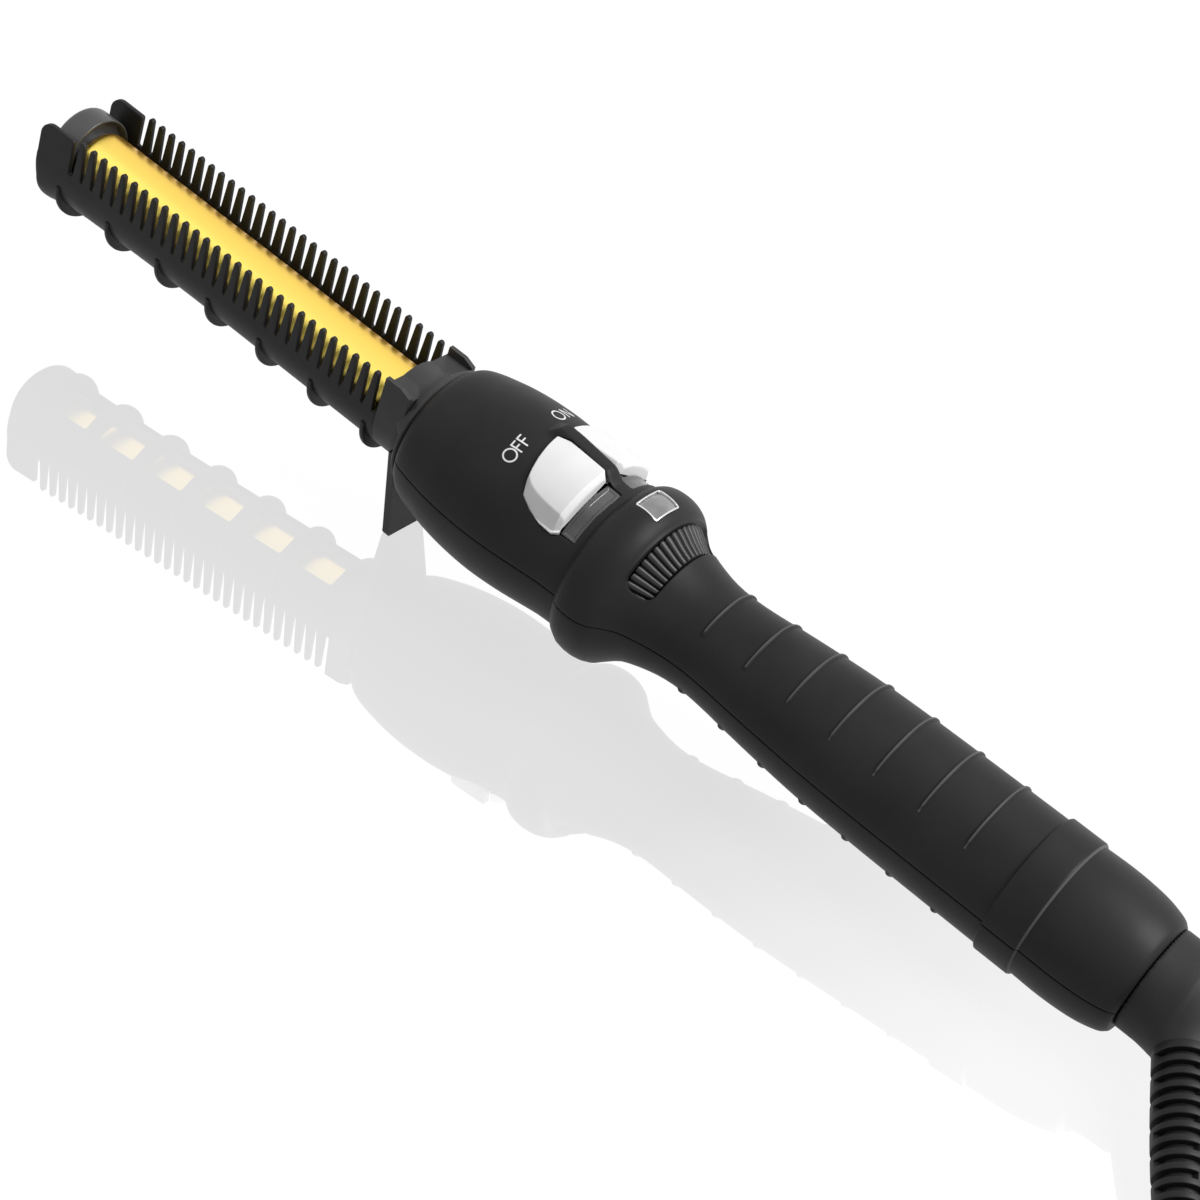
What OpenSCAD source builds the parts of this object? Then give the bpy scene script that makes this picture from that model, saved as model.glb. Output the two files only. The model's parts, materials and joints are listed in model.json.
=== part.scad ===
// Heated styling comb: a gold heated barrel in a comb guard, with a turned two-part handle,
// ON and OFF push buttons, a heat dial in the neck and a swivelling mains cord.
// Millimetres. The tool is drawn along +X, tip at x = 0, teeth up, its axis on y = z = 0.
// stand() then tips it onto its foot and its tail, with the foot's resting face at the origin.

/* [Comb] */
// Distance between neighbouring teeth
tooth_pitch = 3.7; // [3.5:0.1:3.9]
// Teeth in each of the two rows
tooth_count = 29; // [20:1:29]
// Height of a tooth above the bottom of its gap
tooth_rise = 12; // [9:0.5:13]
// Half the outer width of the comb guard
guard_r = 12.3; // [12:0.1:12.6]
// Thickness of the guard and of the teeth
guard_wall = 1.3; // [1.3:0.1:1.5]
// How far the ribs under the guard stand out
rib_rise = 2.3; // [1.5:0.1:3]

/* [Barrel] */
// Outer radius of the heated barrel
barrel_r = 8.8; // [8.4:0.1:9.2]
// Wall of the barrel
barrel_wall = 0.8; // [0.6:0.1:1]

/* [Handle] */
// Wall of the handle shells
shell_wall = 2.2; // [1.8:0.1:2.4]
// Height of the raised arcs on the grip
grip_rib_rise = 0.5; // [0.3:0.1:0.7]
// Depth of the foot below the tool's axis
foot_drop = 33.7; // [30:0.1:36]

/* [Controls] */
// Angle of each button from straight up
button_angle = 31; // [30:0.5:32]
// Travel of a button
button_travel = 1.4; // [1:0.1:1.4]
// Gap between a button and its opening
button_gap = 0.35; // [0.3:0.05:0.4]
// Grooves around the heat dial
dial_grooves = 48; // [36:1:54]

/* [Cord] */
// Diameter of the cord
cord_d = 6.2; // [6:0.1:6.4]
// Length of the strain relief
boot_length = 48; // [44:1:50]

/* [Hidden] */
$fn = 64;
slip = 0.05; // clearance between pieces that are fixed together

// Stations along the axis
cap_end_x = 0;
guard_x0 = 1.1;
barrel_x0 = 10;
ear_x1 = 12.2;
tooth_x0 = 15.5;
guard_x1 = tooth_x0 + 28 * 3.7 + 3;
rib_x0 = 11.5;
rib_pitch = 18.2;
rib_count = 7;
foot_x = 130.2;
foot_t = 2;
collar_x1 = 133.6;
shell_x0 = 133.9;
ring_x0 = 188.3;
neck_x0 = 201.65;
band_x0 = 313;
band_x1 = 322.9;
tail_x1 = 347.1;
part_z = -0.8; // height of the plane where the two shells meet

// Outlines of the handle as [x, radius]
house_outline = [[shell_x0, 16.5], [134.6, 17.7], [136, 18.8], [139.1, 19.9], [142.5, 20.7],
                 [147, 21.6], [153, 22.35], [160, 22.7], [165, 22.6], [171, 22.15], [177, 21.4],
                 [183, 20.65], [ring_x0, 20.4]];
ring_outline = [[ring_x0, 21], [189.2, 22], [191, 22.9], [194.3, 23.4], [197.3, 23.15],
                [199.8, 22.2], [neck_x0, 20.8]];
grip_outline = [[neck_x0, 20.6], [203.5, 19], [205.4, 17.55], [207.8, 16.5], [212.8, 15], [217.5, 14.05],
                [223.5, 13.7], [230, 14.05], [238, 14.85], [248, 15.7], [260, 16.5], [275, 16.95],
                [292, 17.15], [band_x0, 17.3]];
tail_outline = [[band_x1, 17.45], [329.7, 17.6], [335.2, 17.4], [340, 16.9], [343.4, 16.15],
                [345.8, 15.3], [tail_x1, 14.2]];
band_r = 18.2;

// Smooth curve through a list of [x, value], as Hermite pieces with the slopes of a Catmull-Rom curve
function piece_at(p, x, i = 0) = (i >= len(p) - 2 || x < p[i + 1][0]) ? i : piece_at(p, x, i + 1);
function slope_at(p, i) = let (a = max(i - 1, 0), b = min(i + 1, len(p) - 1))
    (p[b][1] - p[a][1]) / (p[b][0] - p[a][0]);
function curve(p, x) = let (i = piece_at(p, x), h = p[i + 1][0] - p[i][0], t = (x - p[i][0]) / h)
    p[i][1] * (2 * t^3 - 3 * t^2 + 1) + slope_at(p, i) * h * (t^3 - 2 * t^2 + t)
    + p[i + 1][1] * (3 * t^2 - 2 * t^3) + slope_at(p, i + 1) * h * (t^3 - t^2);
function first_x(p) = p[0][0];
function last_x(p) = p[len(p) - 1][0];
function outline_points(p, step) = let (n = ceil((last_x(p) - first_x(p)) / step))
    [for (i = [0:n]) let (x = first_x(p) + (last_x(p) - first_x(p)) * i / n) [curve(p, x), x]];
shell_step = 2.6;
shell_points = concat(outline_points(house_outline, shell_step), outline_points(ring_outline, 1.6),
                      outline_points(grip_outline, shell_step),
                      [[band_r, band_x0], [band_r, band_x1]], outline_points(tail_outline, 2));
function shell_r(x) = x < ring_x0 ? curve(house_outline, x)
    : x < neck_x0 ? curve(ring_outline, x) : x < band_x0 ? curve(grip_outline, x) : curve(tail_outline, x);
function inner_points(p) = [for (q = p) [q[1] - shell_wall, q[0]]];

// Solid turned about the X axis from points given as [radius, x]
module turned() { rotate([0, 90, 0]) rotate_extrude() children(); }
// The same, for half_angle each side of a direction given from straight up towards +Y
module turned_arc(half_angle, toward = 0) {
    rotate([0, 90, 0]) rotate([0, 0, 180 - toward - half_angle])
        rotate_extrude(angle = 2 * half_angle) children();
}
module rod(x0, x1, r) { translate([x0, 0, 0]) rotate([0, 90, 0]) cylinder(h = x1 - x0, r = r); }
module tube(x0, x1, r_out, r_in) {
    difference() {
        rod(x0, x1, r_out);
        rod(x0 - 1, x1 + 1, r_in);
    }
}
// A box from one corner to the other
module box(a, b) { translate(a) cube(b - a); }
// Frame of a button: local z points out of the handle through the button's middle
module button_frame(side) { rotate([-side * button_angle, 0, 0]) children(); }

// The tool rests on its foot and on the tail, where a line from the foot first meets the tail
rest_slope = min([for (x = [band_x1 + 1:0.5:346])
    (foot_drop - curve(tail_outline, x)) / (x - foot_x - foot_t / 2)]);
tip_angle = atan(rest_slope);
function standing(p) = let (x = p[0] - foot_x - foot_t / 2, z = p[2] + foot_drop)
    [x * cos(tip_angle) + z * sin(tip_angle), p[1], z * cos(tip_angle) - x * sin(tip_angle)];
module stand() {
    rotate([0, tip_angle, 0]) translate([-foot_x - foot_t / 2, 0, foot_drop]) children();
}

// Comb guard
guard_in = guard_r - guard_wall;
gap_z = 0.8;
tooth_base_w = 2.3;
tooth_tip_w = 1.4;
tooth_top_z = gap_z + tooth_rise;
window_len = 13.4;
window_half_angle = 36;
ear_top_z = 11.6;

module tooth_outline() {
    round_z = tooth_top_z - tooth_tip_w / 2;
    polygon([[-tooth_base_w / 2, 0], [tooth_base_w / 2, 0],
             [tooth_tip_w / 2, round_z], [-tooth_tip_w / 2, round_z]]);
    translate([0, round_z]) circle(d = tooth_tip_w, $fn = 24);
}
module side_outline() {
    translate([guard_x0 + 3, 0]) square([guard_x1 - guard_x0 - 3, gap_z]);
    translate([ear_x1 - 4, 0]) square([4, ear_top_z]);
    translate([guard_x0, 0]) square([6, ear_top_z - 4]);
    translate([guard_x0 + 4, ear_top_z - 4]) circle(r = 4);
    translate([guard_x0 + 4, 0]) square([4, ear_top_z]);
    for (i = [0:tooth_count - 1]) translate([tooth_x0 + i * tooth_pitch, 0]) tooth_outline();
}
module comb_guard() {
    color([0.16, 0.16, 0.17]) {
        difference() {
            union() {
                turned_arc(90, 180) polygon(concat(
                    [[guard_in, guard_x0 + 0.6], [guard_in, guard_x1], [guard_r, guard_x1]],
                    [for (a = [0:11:55]) [guard_r - 3 + 3 * cos(a), guard_x0 + 3 - 3 * sin(a)]]));
                for (i = [0:rib_count - 1]) guard_rib(rib_x0 + i * rib_pitch);
            }
            for (i = [0:rib_count - 2])
                turned_arc(window_half_angle, 180)
                    translate([guard_in - 1, rib_x0 + (i + 0.5) * rib_pitch - window_len / 2])
                        square([6, window_len]);
        }
        for (side = [-1, 1])
            translate([0, side * (guard_r - guard_wall / 2) + guard_wall / 2, 0])
                rotate([90, 0, 0]) linear_extrude(guard_wall) side_outline();
    }
}
module guard_rib(x) {
    intersection() {
        difference() {
            translate([0, 0, -rib_rise]) rod(x - 0.65, x + 0.65, guard_r);
            rod(x - 1, x + 1, guard_r - guard_wall / 2);
        }
        box([x - 1, -20, -20], [x + 1, 20, -3]);
    }
}

// Tip cap, collar and foot
cap_r = guard_in - slip;
cap_round = 2;
cap_spigot_r = barrel_r - 2 - slip;
module tip_cap() {
    color([0.15, 0.15, 0.16])
        turned() polygon(concat(
            [[0, cap_end_x]],
            [for (a = [0:15:90]) [cap_r - cap_round * (1 - sin(a)), cap_end_x + cap_round * (1 - cos(a))]],
            [[cap_r, barrel_x0], [cap_spigot_r, barrel_x0]],
            [[cap_spigot_r, barrel_x0 + 6], [0, barrel_x0 + 6]]));
}
collar_top_z = 11.1;
lip_r = 16.5;
spigot_r = 14;
neck_r = 13;
module collar() {
    color([0.16, 0.16, 0.17]) difference() {
        union() {
            rod(guard_x1 + slip, foot_x, guard_r);
            box([guard_x1 + slip, -guard_r, 0], [foot_x, guard_r, collar_top_z]);
            turned() polygon([[0, 125], [11.6, 125], [12.3, 127], [neck_r, 129.4], [neck_r, foot_x + foot_t],
                              [lip_r - 0.4, foot_x + foot_t + slip], [lip_r, 132.7], [lip_r, 133.2],
                              [lip_r - 0.4, collar_x1], [spigot_r, collar_x1], [spigot_r, 141],
                              [0, 141]]);
            turned_arc(75) polygon([[10, 125.5], [11.2, 125.5], [12.2, 127.5], [13.7, 129.8], [15.6, 131.5],
                                    [16.3, 132.5], [10, 132.5]]);
            for (side = [-1, 1]) translate([0, side * (guard_r - guard_wall / 2) + guard_wall / 2, 0])
                rotate([90, 0, 0]) linear_extrude(guard_wall) {
                    translate([guard_x1 + slip, 0]) square([5, 13.2]);
                    polygon([[guard_x1 + slip, 0], [foot_x, 0], [foot_x, 12], [guard_x1 + 5, 13.2]]);
                }
        }
        rod(guard_x1 - 1, 142, barrel_r + slip);
    }
}
foot_top_w = 14.6;
foot_tip_w = 7;
foot_round = 2.4;
function foot_corner(side, angles) = [for (a = angles)
    [side * (foot_tip_w - foot_round + foot_round * cos(a)), -foot_drop + 1.8 - foot_round * sin(a)]];
module foot() {
    color([0.17, 0.17, 0.18]) difference() {
        translate([foot_x, 0, 0]) rotate([90, 0, 90]) linear_extrude(foot_t) difference() {
            polygon(concat([[-foot_top_w, -3], [foot_top_w, -3]],
                foot_corner(1, [0:15:75]), foot_corner(-1, [75:-15:0])));
            circle(r = neck_r + slip);
        }
        translate([foot_x + foot_t / 2, 0, -foot_drop]) rotate([0, -tip_angle, 0])
            box([-20, -20, -20], [20, 20, 0]);
    }
}

// Barrel and heater
barrel_x1 = 143;
barrel_in = barrel_r - barrel_wall;
barrel_round = 1.2;
front_r = barrel_r - 2; // radius of the hole in the barrel's front, round the cap's spigot
module barrel() {
    start = barrel_x0 + slip;
    color([0.93, 0.74, 0.25]) turned() polygon(concat([[front_r, start]],
        [for (a = [0:15:90]) [barrel_r - barrel_round * (1 - sin(a)), start + 2 * (1 - cos(a))]],
        [[barrel_r, barrel_x1], [barrel_in, barrel_x1], [barrel_in, start + 2.4], [front_r, start + 1.2]]));
}
spreader_x0 = 18;
spreader_x1 = 120;
heater_w = 10;
heater_t = 2.6;
module heat_spreader() {
    color([0.75, 0.76, 0.78]) for (side = [0, 180]) rotate([side, 0, 0]) difference() {
        rod(spreader_x0, spreader_x1, barrel_in - slip);
        box([0, -20, -20], [140, 20, 0.3]);
        box([0, -heater_w / 2 - 0.1, -1], [140, heater_w / 2 + 0.1, heater_t / 2 + slip]);
        if (side == 0) translate([0, 0, 5]) rod(96, 125, 1.3);
    }
}
module heater_plate() {
    color([0.9, 0.9, 0.86])
        box([spreader_x0 + 2, -heater_w / 2, -heater_t / 2], [spreader_x1 - 2, heater_w / 2, heater_t / 2]);
}
module thermistor() { color([0.35, 0.2, 0.12]) translate([0, 0, 5]) rod(98, 118, 1.1); }
module barrel_insulator() {
    color([0.88, 0.86, 0.8]) difference() {
        rod(spreader_x1 + 1, 139, barrel_in - slip);
        for (y = [-4, 4]) translate([0, y, 0]) rod(100, 150, 1.2);
        translate([0, 0, 5]) rod(100, 150, 1.2);
    }
}

// Handle shells
button_x0 = 166.3;
button_x1 = 182.4;
button_w = 20.4;
button_mid_x = (button_x0 + button_x1) / 2;
window_x0 = 183;
window_x1 = 187;
window_from = 5.5;
window_to = 54.5;
lens_x0 = 192.5;
lens_x1 = 198.4;
lens_half_w = 4.2;
bezel_w = 0.7;
slot_x0 = neck_x0 + 0.2;
slot_x1 = 209.1;
slot_half_angle = 57;
dial_z = 3.5;
dial_x0 = slot_x0 + 0.4;
dial_x1 = slot_x1 - 0.4;
bore_r = 10;
tail_wall_x0 = 342.3;

// Outline of a button seen along its travel: y runs towards the other button
button_corners = [[-8.05, 9], [-5.2, 10.2], [6.2, 10.1], [7.9, 8.8], [8.05, -8.8], [6.6, -9.9],
                  [0.6, -9.9], [-4.4, -7.9], [-6.8, -3], [-7.9, 4]];
function button_outline(gap) = [for (c = button_corners)
    [c[0] * (1 + gap * 2 / (button_x1 - button_x0)), c[1] * (1 + gap * 2 / button_w)]];
module button_prism(side, gap, z0, z1) {
    button_frame(side) translate([button_mid_x, 0, z0]) linear_extrude(z1 - z0)
        polygon([for (c = button_outline(gap)) [c[0], -side * c[1]]]);
}
module shell_body() {
    difference() {
        union() {
            turned() polygon(concat([[0, shell_x0]], shell_points, [[0, tail_x1]]));
            for (i = [0:6]) grip_rib(222.9 + i * 13);
        }
        turned() polygon(concat([[0, 136.2]], [for (x = [136.2:6:160]) [shell_r(x) - shell_wall, x]],
            inner_points([[165, 22.6], [171, 22.15], [177, 21.4], [183, 20.65], [188, 20.4], [192, 22.4],
                [198, 22.6], [202.6, 19.9], [205.4, 17.5], [207.8, 16.4], [212.8, 14.9], [217.5, 14],
                [223.5, 13.65], [230, 14], [238, 14.8], [248, 15.65], [260, 16.4], [275, 16.9], [310, 17.2],
                [330, 17.4], [336, 17.2], [tail_wall_x0, 16.2]]),
            [[0, tail_wall_x0]]));
        rod(shell_x0 - 1, 137, spigot_r + slip);
        rod(tail_wall_x0 - 1, tail_x1 + 1, bore_r);
        dial_space();
    }
}
module dial_space() {
    translate([0, 0, dial_z]) turned() polygon(concat([[0, dial_x0 - 0.5]],
        [for (p = dial_points) [p[0] + 0.5, p[1] + (p[1] > 205 ? 0.5 : -0.5)]], [[0, dial_x1 + 0.5]]));
}
module grip_rib(x) {
    for (toward = [0, 180])
        turned_arc(52, toward) translate([shell_r(x) - 0.2, x]) circle(r = grip_rib_rise + 0.2, $fn = 16);
}
module upper_shell() {
    color([0.13, 0.13, 0.14]) difference() {
        union() {
            intersection() {
                shell_body();
                box([130, -30, part_z], [350, 30, 30]);
            }
            divider();
            for (x = [152, 262, 330]) for (side = [-1, 1]) shell_boss(x, side, part_z, 4);
        }
        for (side = [-1, 1]) {
            button_prism(side, button_gap, 14, 30);
            turned_arc((window_to - window_from) / 2, side * (window_from + window_to) / 2)
                translate([15, window_x0]) square([10, window_x1 - window_x0]);
        }
        box([lens_x0 - bezel_w, -lens_half_w - bezel_w, 15], [lens_x1 + bezel_w, lens_half_w + bezel_w, 30]);
        turned_arc(slot_half_angle) translate([9, slot_x0]) square([20, slot_x1 - slot_x0]);
        for (x = [152, 262, 330]) for (side = [-1, 1])
            translate([x, side * boss_y(x), part_z - 1]) cylinder(h = 4, r = 1.3);
    }
}
divider_half_w = 2.4;
module divider() {
    intersection() {
        turned() polygon([[19, 165], [shell_r(165) - 0.1, 165], [shell_r(169) + 1.1, 168.5],
                          [shell_r(181) + 1.1, 181], [shell_r(184.5), 184.5], [18.4, 184.5], [18.4, 178]]);
        box([164, -divider_half_w, 0], [186, divider_half_w, 30]);
    }
}
function boss_y(x) = shell_r(x) - shell_wall - 1.4;
module shell_boss(x, side, z0, h) {
    intersection() {
        translate([x, side * boss_y(x), z0]) cylinder(h = h, r = 2.4);
        rod(x - 5, x + 5, shell_r(x) - 0.8);
    }
}
module lower_shell() {
    color([0.13, 0.13, 0.14]) {
        intersection() {
            shell_body();
            box([130, -30, -30], [350, 30, part_z - slip]);
        }
        for (x = [152, 262, 330]) for (side = [-1, 1]) {
            shell_boss(x, side, part_z - slip - 4, 4);
            translate([x, side * boss_y(x), part_z - slip - 2]) cylinder(h = 4, r = 1.2);
        }
        for (p = screw_spots) difference() {
            intersection() {
                translate([p[0], p[1], -30]) cylinder(h = 30 + board_z - slip, r = 2.4);
                rod(p[0] - 5, p[0] + 5, shell_r(p[0]) - 0.8);
            }
            translate([p[0], p[1], -4]) cylinder(h = 8, r = 1.2);
        }
    }
}

// Controls
board_z = 1.4;
board_t = 1.6;
screw_spots = [[148, 8], [148, -8], [186, 0]];
pot_x0 = 190.5;
module control_board() {
    color([0.08, 0.35, 0.2]) difference() {
        box([143.5, -13.5, board_z], [pot_x0 - slip, 13.5, board_z + board_t]);
        for (p = screw_spots) translate([p[0], p[1], 0]) cylinder(h = 5, r = 1.3);
    }
}
module board_screws() {
    color([0.7, 0.7, 0.72]) for (p = screw_spots) translate([p[0], p[1], board_z + board_t + slip]) {
        cylinder(h = 1.4, r = 2.2);
        translate([0, 0, -5]) cylinder(h = 5.2, r = 1.15);
    }
}
face_r = 9; // distance of the switch faces from the axis
face_half = 6.5;
module switch_carrier() {
    top = board_z + board_t + slip;
    ridge = face_r / cos(button_angle);
    edge_y = face_r * sin(button_angle) + face_half * cos(button_angle);
    edge_z = face_r * cos(button_angle) - face_half * sin(button_angle);
    color([0.25, 0.25, 0.27]) translate([button_mid_x - 7, 0, 0]) rotate([90, 0, 90]) linear_extrude(14)
        polygon([[0, ridge], [edge_y, edge_z], [edge_y, top], [-edge_y, top], [-edge_y, edge_z]]);
}
module tact_switches() {
    color([0.1, 0.1, 0.1]) for (side = [-1, 1]) button_frame(side) {
        box([button_mid_x - 3, -3, face_r + slip], [button_mid_x + 3, 3, face_r + 3.2]);
        translate([button_mid_x, 0, face_r + 3]) cylinder(h = 0.9, r = 1.6);
    }
}
module indicator_leds() {
    color([0.9, 0.3, 0.2]) for (y = [-8.5, 8.5]) translate([187, y, board_z + board_t + slip]) {
        cylinder(h = 9, r = 1.5);
        translate([0, 0, 9]) sphere(r = 1.5, $fn = 24);
    }
}
top_r0 = 22.7;
top_r1 = 24.7;
top_r2 = 23.9;
top_r3 = 22.2;
plate_z0 = 15.2;
stem_z0 = face_r + 3.9 + button_travel + 0.35;
module button(side) {
    color([0.93, 0.93, 0.92]) {
        difference() {
            intersection() {
                button_prism(side, 0, 19.5, 30);
                turned() polygon([[0, button_x0 - 1], [top_r0, button_x0 - 0.3], [top_r1, button_x0 + 2.6],
                                  [top_r2, button_x1 - 1.7], [top_r3, button_x1 + 0.1], [0, button_x1 + 1]]);
            }
            button_frame(side) translate([150, side * 5, 23.95]) rotate([-side * 35, 0, 0])
                box([0, side > 0 ? 0 : -30, 0], [50, side > 0 ? 30 : 0, 10]);
        }
        intersection() {
            button_prism(side, -0.6, plate_z0, 19.6);
            button_frame(side) box([button_x0 + 0.9, -6, plate_z0], [button_x1 - 0.9, 6, 19.6]);
        }
        button_frame(side) {
            box([button_x0 - 1.2, -3.6, 17.9], [button_x0 + 2.4, 3.6, 19.2]);
            box([button_x1 - 2, -3, plate_z0], [window_x0 + 1.3, 3, plate_z0 + 1.4]);
            translate([button_mid_x, 0, stem_z0]) cylinder(h = plate_z0 - stem_z0 + 0.1, r = 2.5);
        }
    }
}
spring_r = 4.9;
spring_wire = 0.6;
spring_turns = 4;
spring_steps = 16; // steps in each turn
module coil_spring(z0, z1) {
    sides = 6;
    n = spring_turns * spring_steps;
    rise = (z1 - z0 - spring_wire) / n;
    centers = [for (i = [0:n]) let (a = i * 360 / spring_steps) [spring_r * cos(a), spring_r * sin(a), a]];
    points = [for (i = [0:n]) for (k = [0:sides - 1]) let (a = centers[i][2], b = k * 360 / sides,
        r = spring_r + spring_wire / 2 * cos(b))
        [r * cos(a), r * sin(a), z0 + spring_wire / 2 + i * rise + spring_wire / 2 * sin(b)]];
    walls = [for (i = [0:n - 1]) for (k = [0:sides - 1]) let (m = (k + 1) % sides)
        [i * sides + k, i * sides + m, (i + 1) * sides + m, (i + 1) * sides + k]];
    ends = [[for (k = [sides - 1:-1:0]) k], [for (k = [0:sides - 1]) n * sides + k]];
    polyhedron(points, concat(walls, ends));
}
module button_spring(side) {
    color([0.75, 0.76, 0.78]) button_frame(side) translate([button_mid_x, 0, 0])
        coil_spring(face_r + 0.1, plate_z0 - 0.1);
}
module window_piece(side) {
    sink = 0.6;
    half = (window_to - window_from) / 2 - 0.2;
    color([0.6, 0.6, 0.62, 0.6]) turned_arc(half, side * (window_from + window_to) / 2)
        polygon([[17.4, window_x0 + 0.05], [shell_r(window_x0) - sink, window_x0 + 0.05],
                 [shell_r(window_x1) - sink, window_x1 - 0.05], [17.4, window_x1 - 0.05]]);
}
module power_lens() {
    color([0.7, 0.7, 0.72, 0.6]) intersection() {
        turned() polygon([[19, lens_x0], [22.4, lens_x0 + slip], [23.0, 194.5], [22.8, 197],
                          [22.3, lens_x1 - slip], [19, lens_x1]]);
        box([lens_x0 + slip, -lens_half_w + slip, 15], [lens_x1 - slip, lens_half_w - slip, 30]);
    }
}
module lens_bezel() {
    color([0.85, 0.85, 0.86]) intersection() {
        turned() polygon([[20, lens_x0 - bezel_w], [23.1, lens_x0 - bezel_w + slip], [23.6, 194.4],
                          [23.4, 197], [22.7, lens_x1 + bezel_w - slip], [20, lens_x1 + bezel_w]]);
        difference() {
            box([lens_x0 - bezel_w + slip, -lens_half_w - bezel_w + slip, 15],
                [lens_x1 + bezel_w - slip, lens_half_w + bezel_w - slip, 30]);
            box([lens_x0, -lens_half_w, 14], [lens_x1, lens_half_w, 31]);
        }
    }
}

// Heat dial: turns about its own axis, which lies dial_z above the tool's axis
dial_points = [[20.2 - dial_z, dial_x0], [19.4 - dial_z, 203.7], [18.1 - dial_z, 205.6],
               [17.1 - dial_z, 207.3], [16.4 - dial_z, dial_x1]];
shaft_r = 3;
module dial_wheel() {
    color([0.1, 0.1, 0.11]) translate([0, 0, dial_z]) difference() {
        turned() polygon(concat([[shaft_r + slip, dial_x0 + 2]], [[10.4, dial_x0 + 2], [12.5, dial_x0]],
            dial_points, [[10.4, dial_x1], [9.4, dial_x1 - 2], [shaft_r + slip, dial_x1 - 2]]));
        for (i = [0:dial_grooves - 1]) rotate([i * 360 / dial_grooves, 0, 0])
            translate([dial_x0, 0, 0]) rotate([0, dial_slope, 0])
                box([-2, -0.3, dial_points[0][0] - 0.55], [12, 0.3, 25]);
    }
}
dial_slope = atan((dial_points[0][0] - dial_points[4][0]) / (dial_x1 - dial_x0));
module dial_shaft() { color([0.75, 0.76, 0.78]) translate([0, 0, dial_z]) rod(196, dial_x1 - 2, shaft_r); }
module potentiometer() {
    color([0.3, 0.32, 0.4]) translate([0, 0, dial_z]) difference() {
        union() {
            rod(pot_x0, 198.4, 8);
            rod(198.3, 200.6, 4.4);
        }
        rod(195.6, 202, shaft_r + 0.08);
    }
}

// Wiring
// Tube swept along points; its rings stand square to the way between the neighbouring points
function unit(v) = v / norm(v);
function way_at(p, i) = unit(p[min(i + 1, len(p) - 1)] - p[max(i - 1, 0)]);
module sweep(path, r, sides) {
    n = len(path);
    points = [for (i = [0:n - 1])
        let (d = way_at(path, i), s = unit(cross(d, [0.02, 0.01, 1])), u = cross(s, d))
        for (k = [0:sides - 1]) path[i] + r * (cos(k * 360 / sides) * s + sin(k * 360 / sides) * u)];
    walls = [for (i = [0:n - 2]) for (k = [0:sides - 1]) let (m = (k + 1) % sides)
        [i * sides + k, (i + 1) * sides + k, (i + 1) * sides + m, i * sides + m]];
    ends = [[for (k = [0:sides - 1]) k], [for (k = [sides - 1:-1:0]) (n - 1) * sides + k]];
    polyhedron(points, concat(walls, ends));
}
// Points of a smooth curve through a list of points in space
function blend(a, b, c, d, t) = 0.5 * (2 * b + (c - a) * t + (2 * a - 5 * b + 4 * c - d) * t^2
    + (3 * b - a - 3 * c + d) * t^3);
function smooth_path(p, steps) = concat([for (i = [0:len(p) - 2]) for (s = [0:steps - 1])
    blend(p[max(i - 1, 0)], p[i], p[i + 1], p[min(i + 2, len(p) - 1)], s / steps)], [p[len(p) - 1]]);

lead_r = 0.9;
module heater_leads() {
    color([0.75, 0.1, 0.08]) for (y = [-4, 4])
        sweep(smooth_path([[118.3, y, 0], [139, y, 0], [142.5, y, -0.3], [146, y, -0.3], [150, y, -0.4]], 3),
              lead_r, 8);
}
module supply_leads() {
    color([0.85, 0.85, 0.85]) for (side = [-1, 1])
        sweep(smooth_path([[182, side * 5, -1], [189, side * 4, -8], [196, side * 3, -15],
                           [203, side * 3, -14.6], [206, side * 3, -13.1], [210, side * 2.6, -11.4],
                           [220, side * 2.6, -9], [245, side * 2.6, -9], [290, side * 3, -9],
                           [322, side * 3, -9]], 3), lead_r, 8);
}

// Swivel: everything from here on turns about the tool's axis
journal_r = 9.7;
boot_r0 = 7.3;
drum_r = 6;
ring_x = [327.5, 332.5];
elbow = [356.3, 0.8, 0.4]; // middle of the elbow, where the cord's line starts
cord_way = unit([0.526, -0.838, -0.13]);
elbow_neck = 14; // from the elbow's middle to the strain relief
elbow_r = 13.2;
elbow_x0 = tail_x1 + 0.4;
module toward_cord(distance) {
    translate(elbow + distance * cord_way)
        rotate([0, 0, atan2(cord_way[1], cord_way[0])]) rotate([0, 90 - asin(cord_way[2]), 0]) children();
}
module swivel_elbow() {
    color([0.14, 0.14, 0.15]) difference() {
        union() {
            rod(324.5, 341, drum_r);
            rod(338.5, tail_wall_x0 - 0.5, 12);
            rod(341, elbow_x0 + 1, journal_r);
            translate([0, elbow[1], elbow[2]]) rod(elbow_x0, elbow[0], elbow_r);
            intersection() {
                translate(elbow) sphere(r = elbow_r);
                box([elbow_x0, -20, -20], [elbow_x0 + 40, 20, 20]);
            }
            toward_cord(0) cylinder(h = elbow_neck, r1 = elbow_r, r2 = boot_r0 + 0.2);
        }
        for (x = ring_x) tube(x, x + 3, drum_r + 1, drum_r - 1);
    }
}
module slip_rings() {
    color([0.85, 0.65, 0.3]) for (x = ring_x) tube(x + slip, x + 3 - slip, drum_r + 0.1, drum_r - 1 + slip);
}
blade_z = drum_r + 0.45;
module brush_blades() {
    color([0.85, 0.6, 0.35]) for (x = ring_x) box([x + 0.4, -7.5, blade_z], [x + 2.6, 7.5, blade_z + 0.5]);
}
module brush_holder() {
    color([0.3, 0.22, 0.14]) difference() {
        union() {
            box([323.6, -9, blade_z - 1.2], [338, 9, blade_z + 3]);
            box([323.6, -5, blade_z + 2], [338, 5, 13.6]);
        }
        box([323, -6.6, blade_z - 2], [338.1, 6.6, blade_z + 0.6]);
        for (x = ring_x) box([x + 0.35, -7.6, blade_z - 0.05], [x + 2.65, 7.6, blade_z + 0.6]);
    }
}
boot_r1 = 4.7;
groove_pitch = 3.28;
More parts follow.
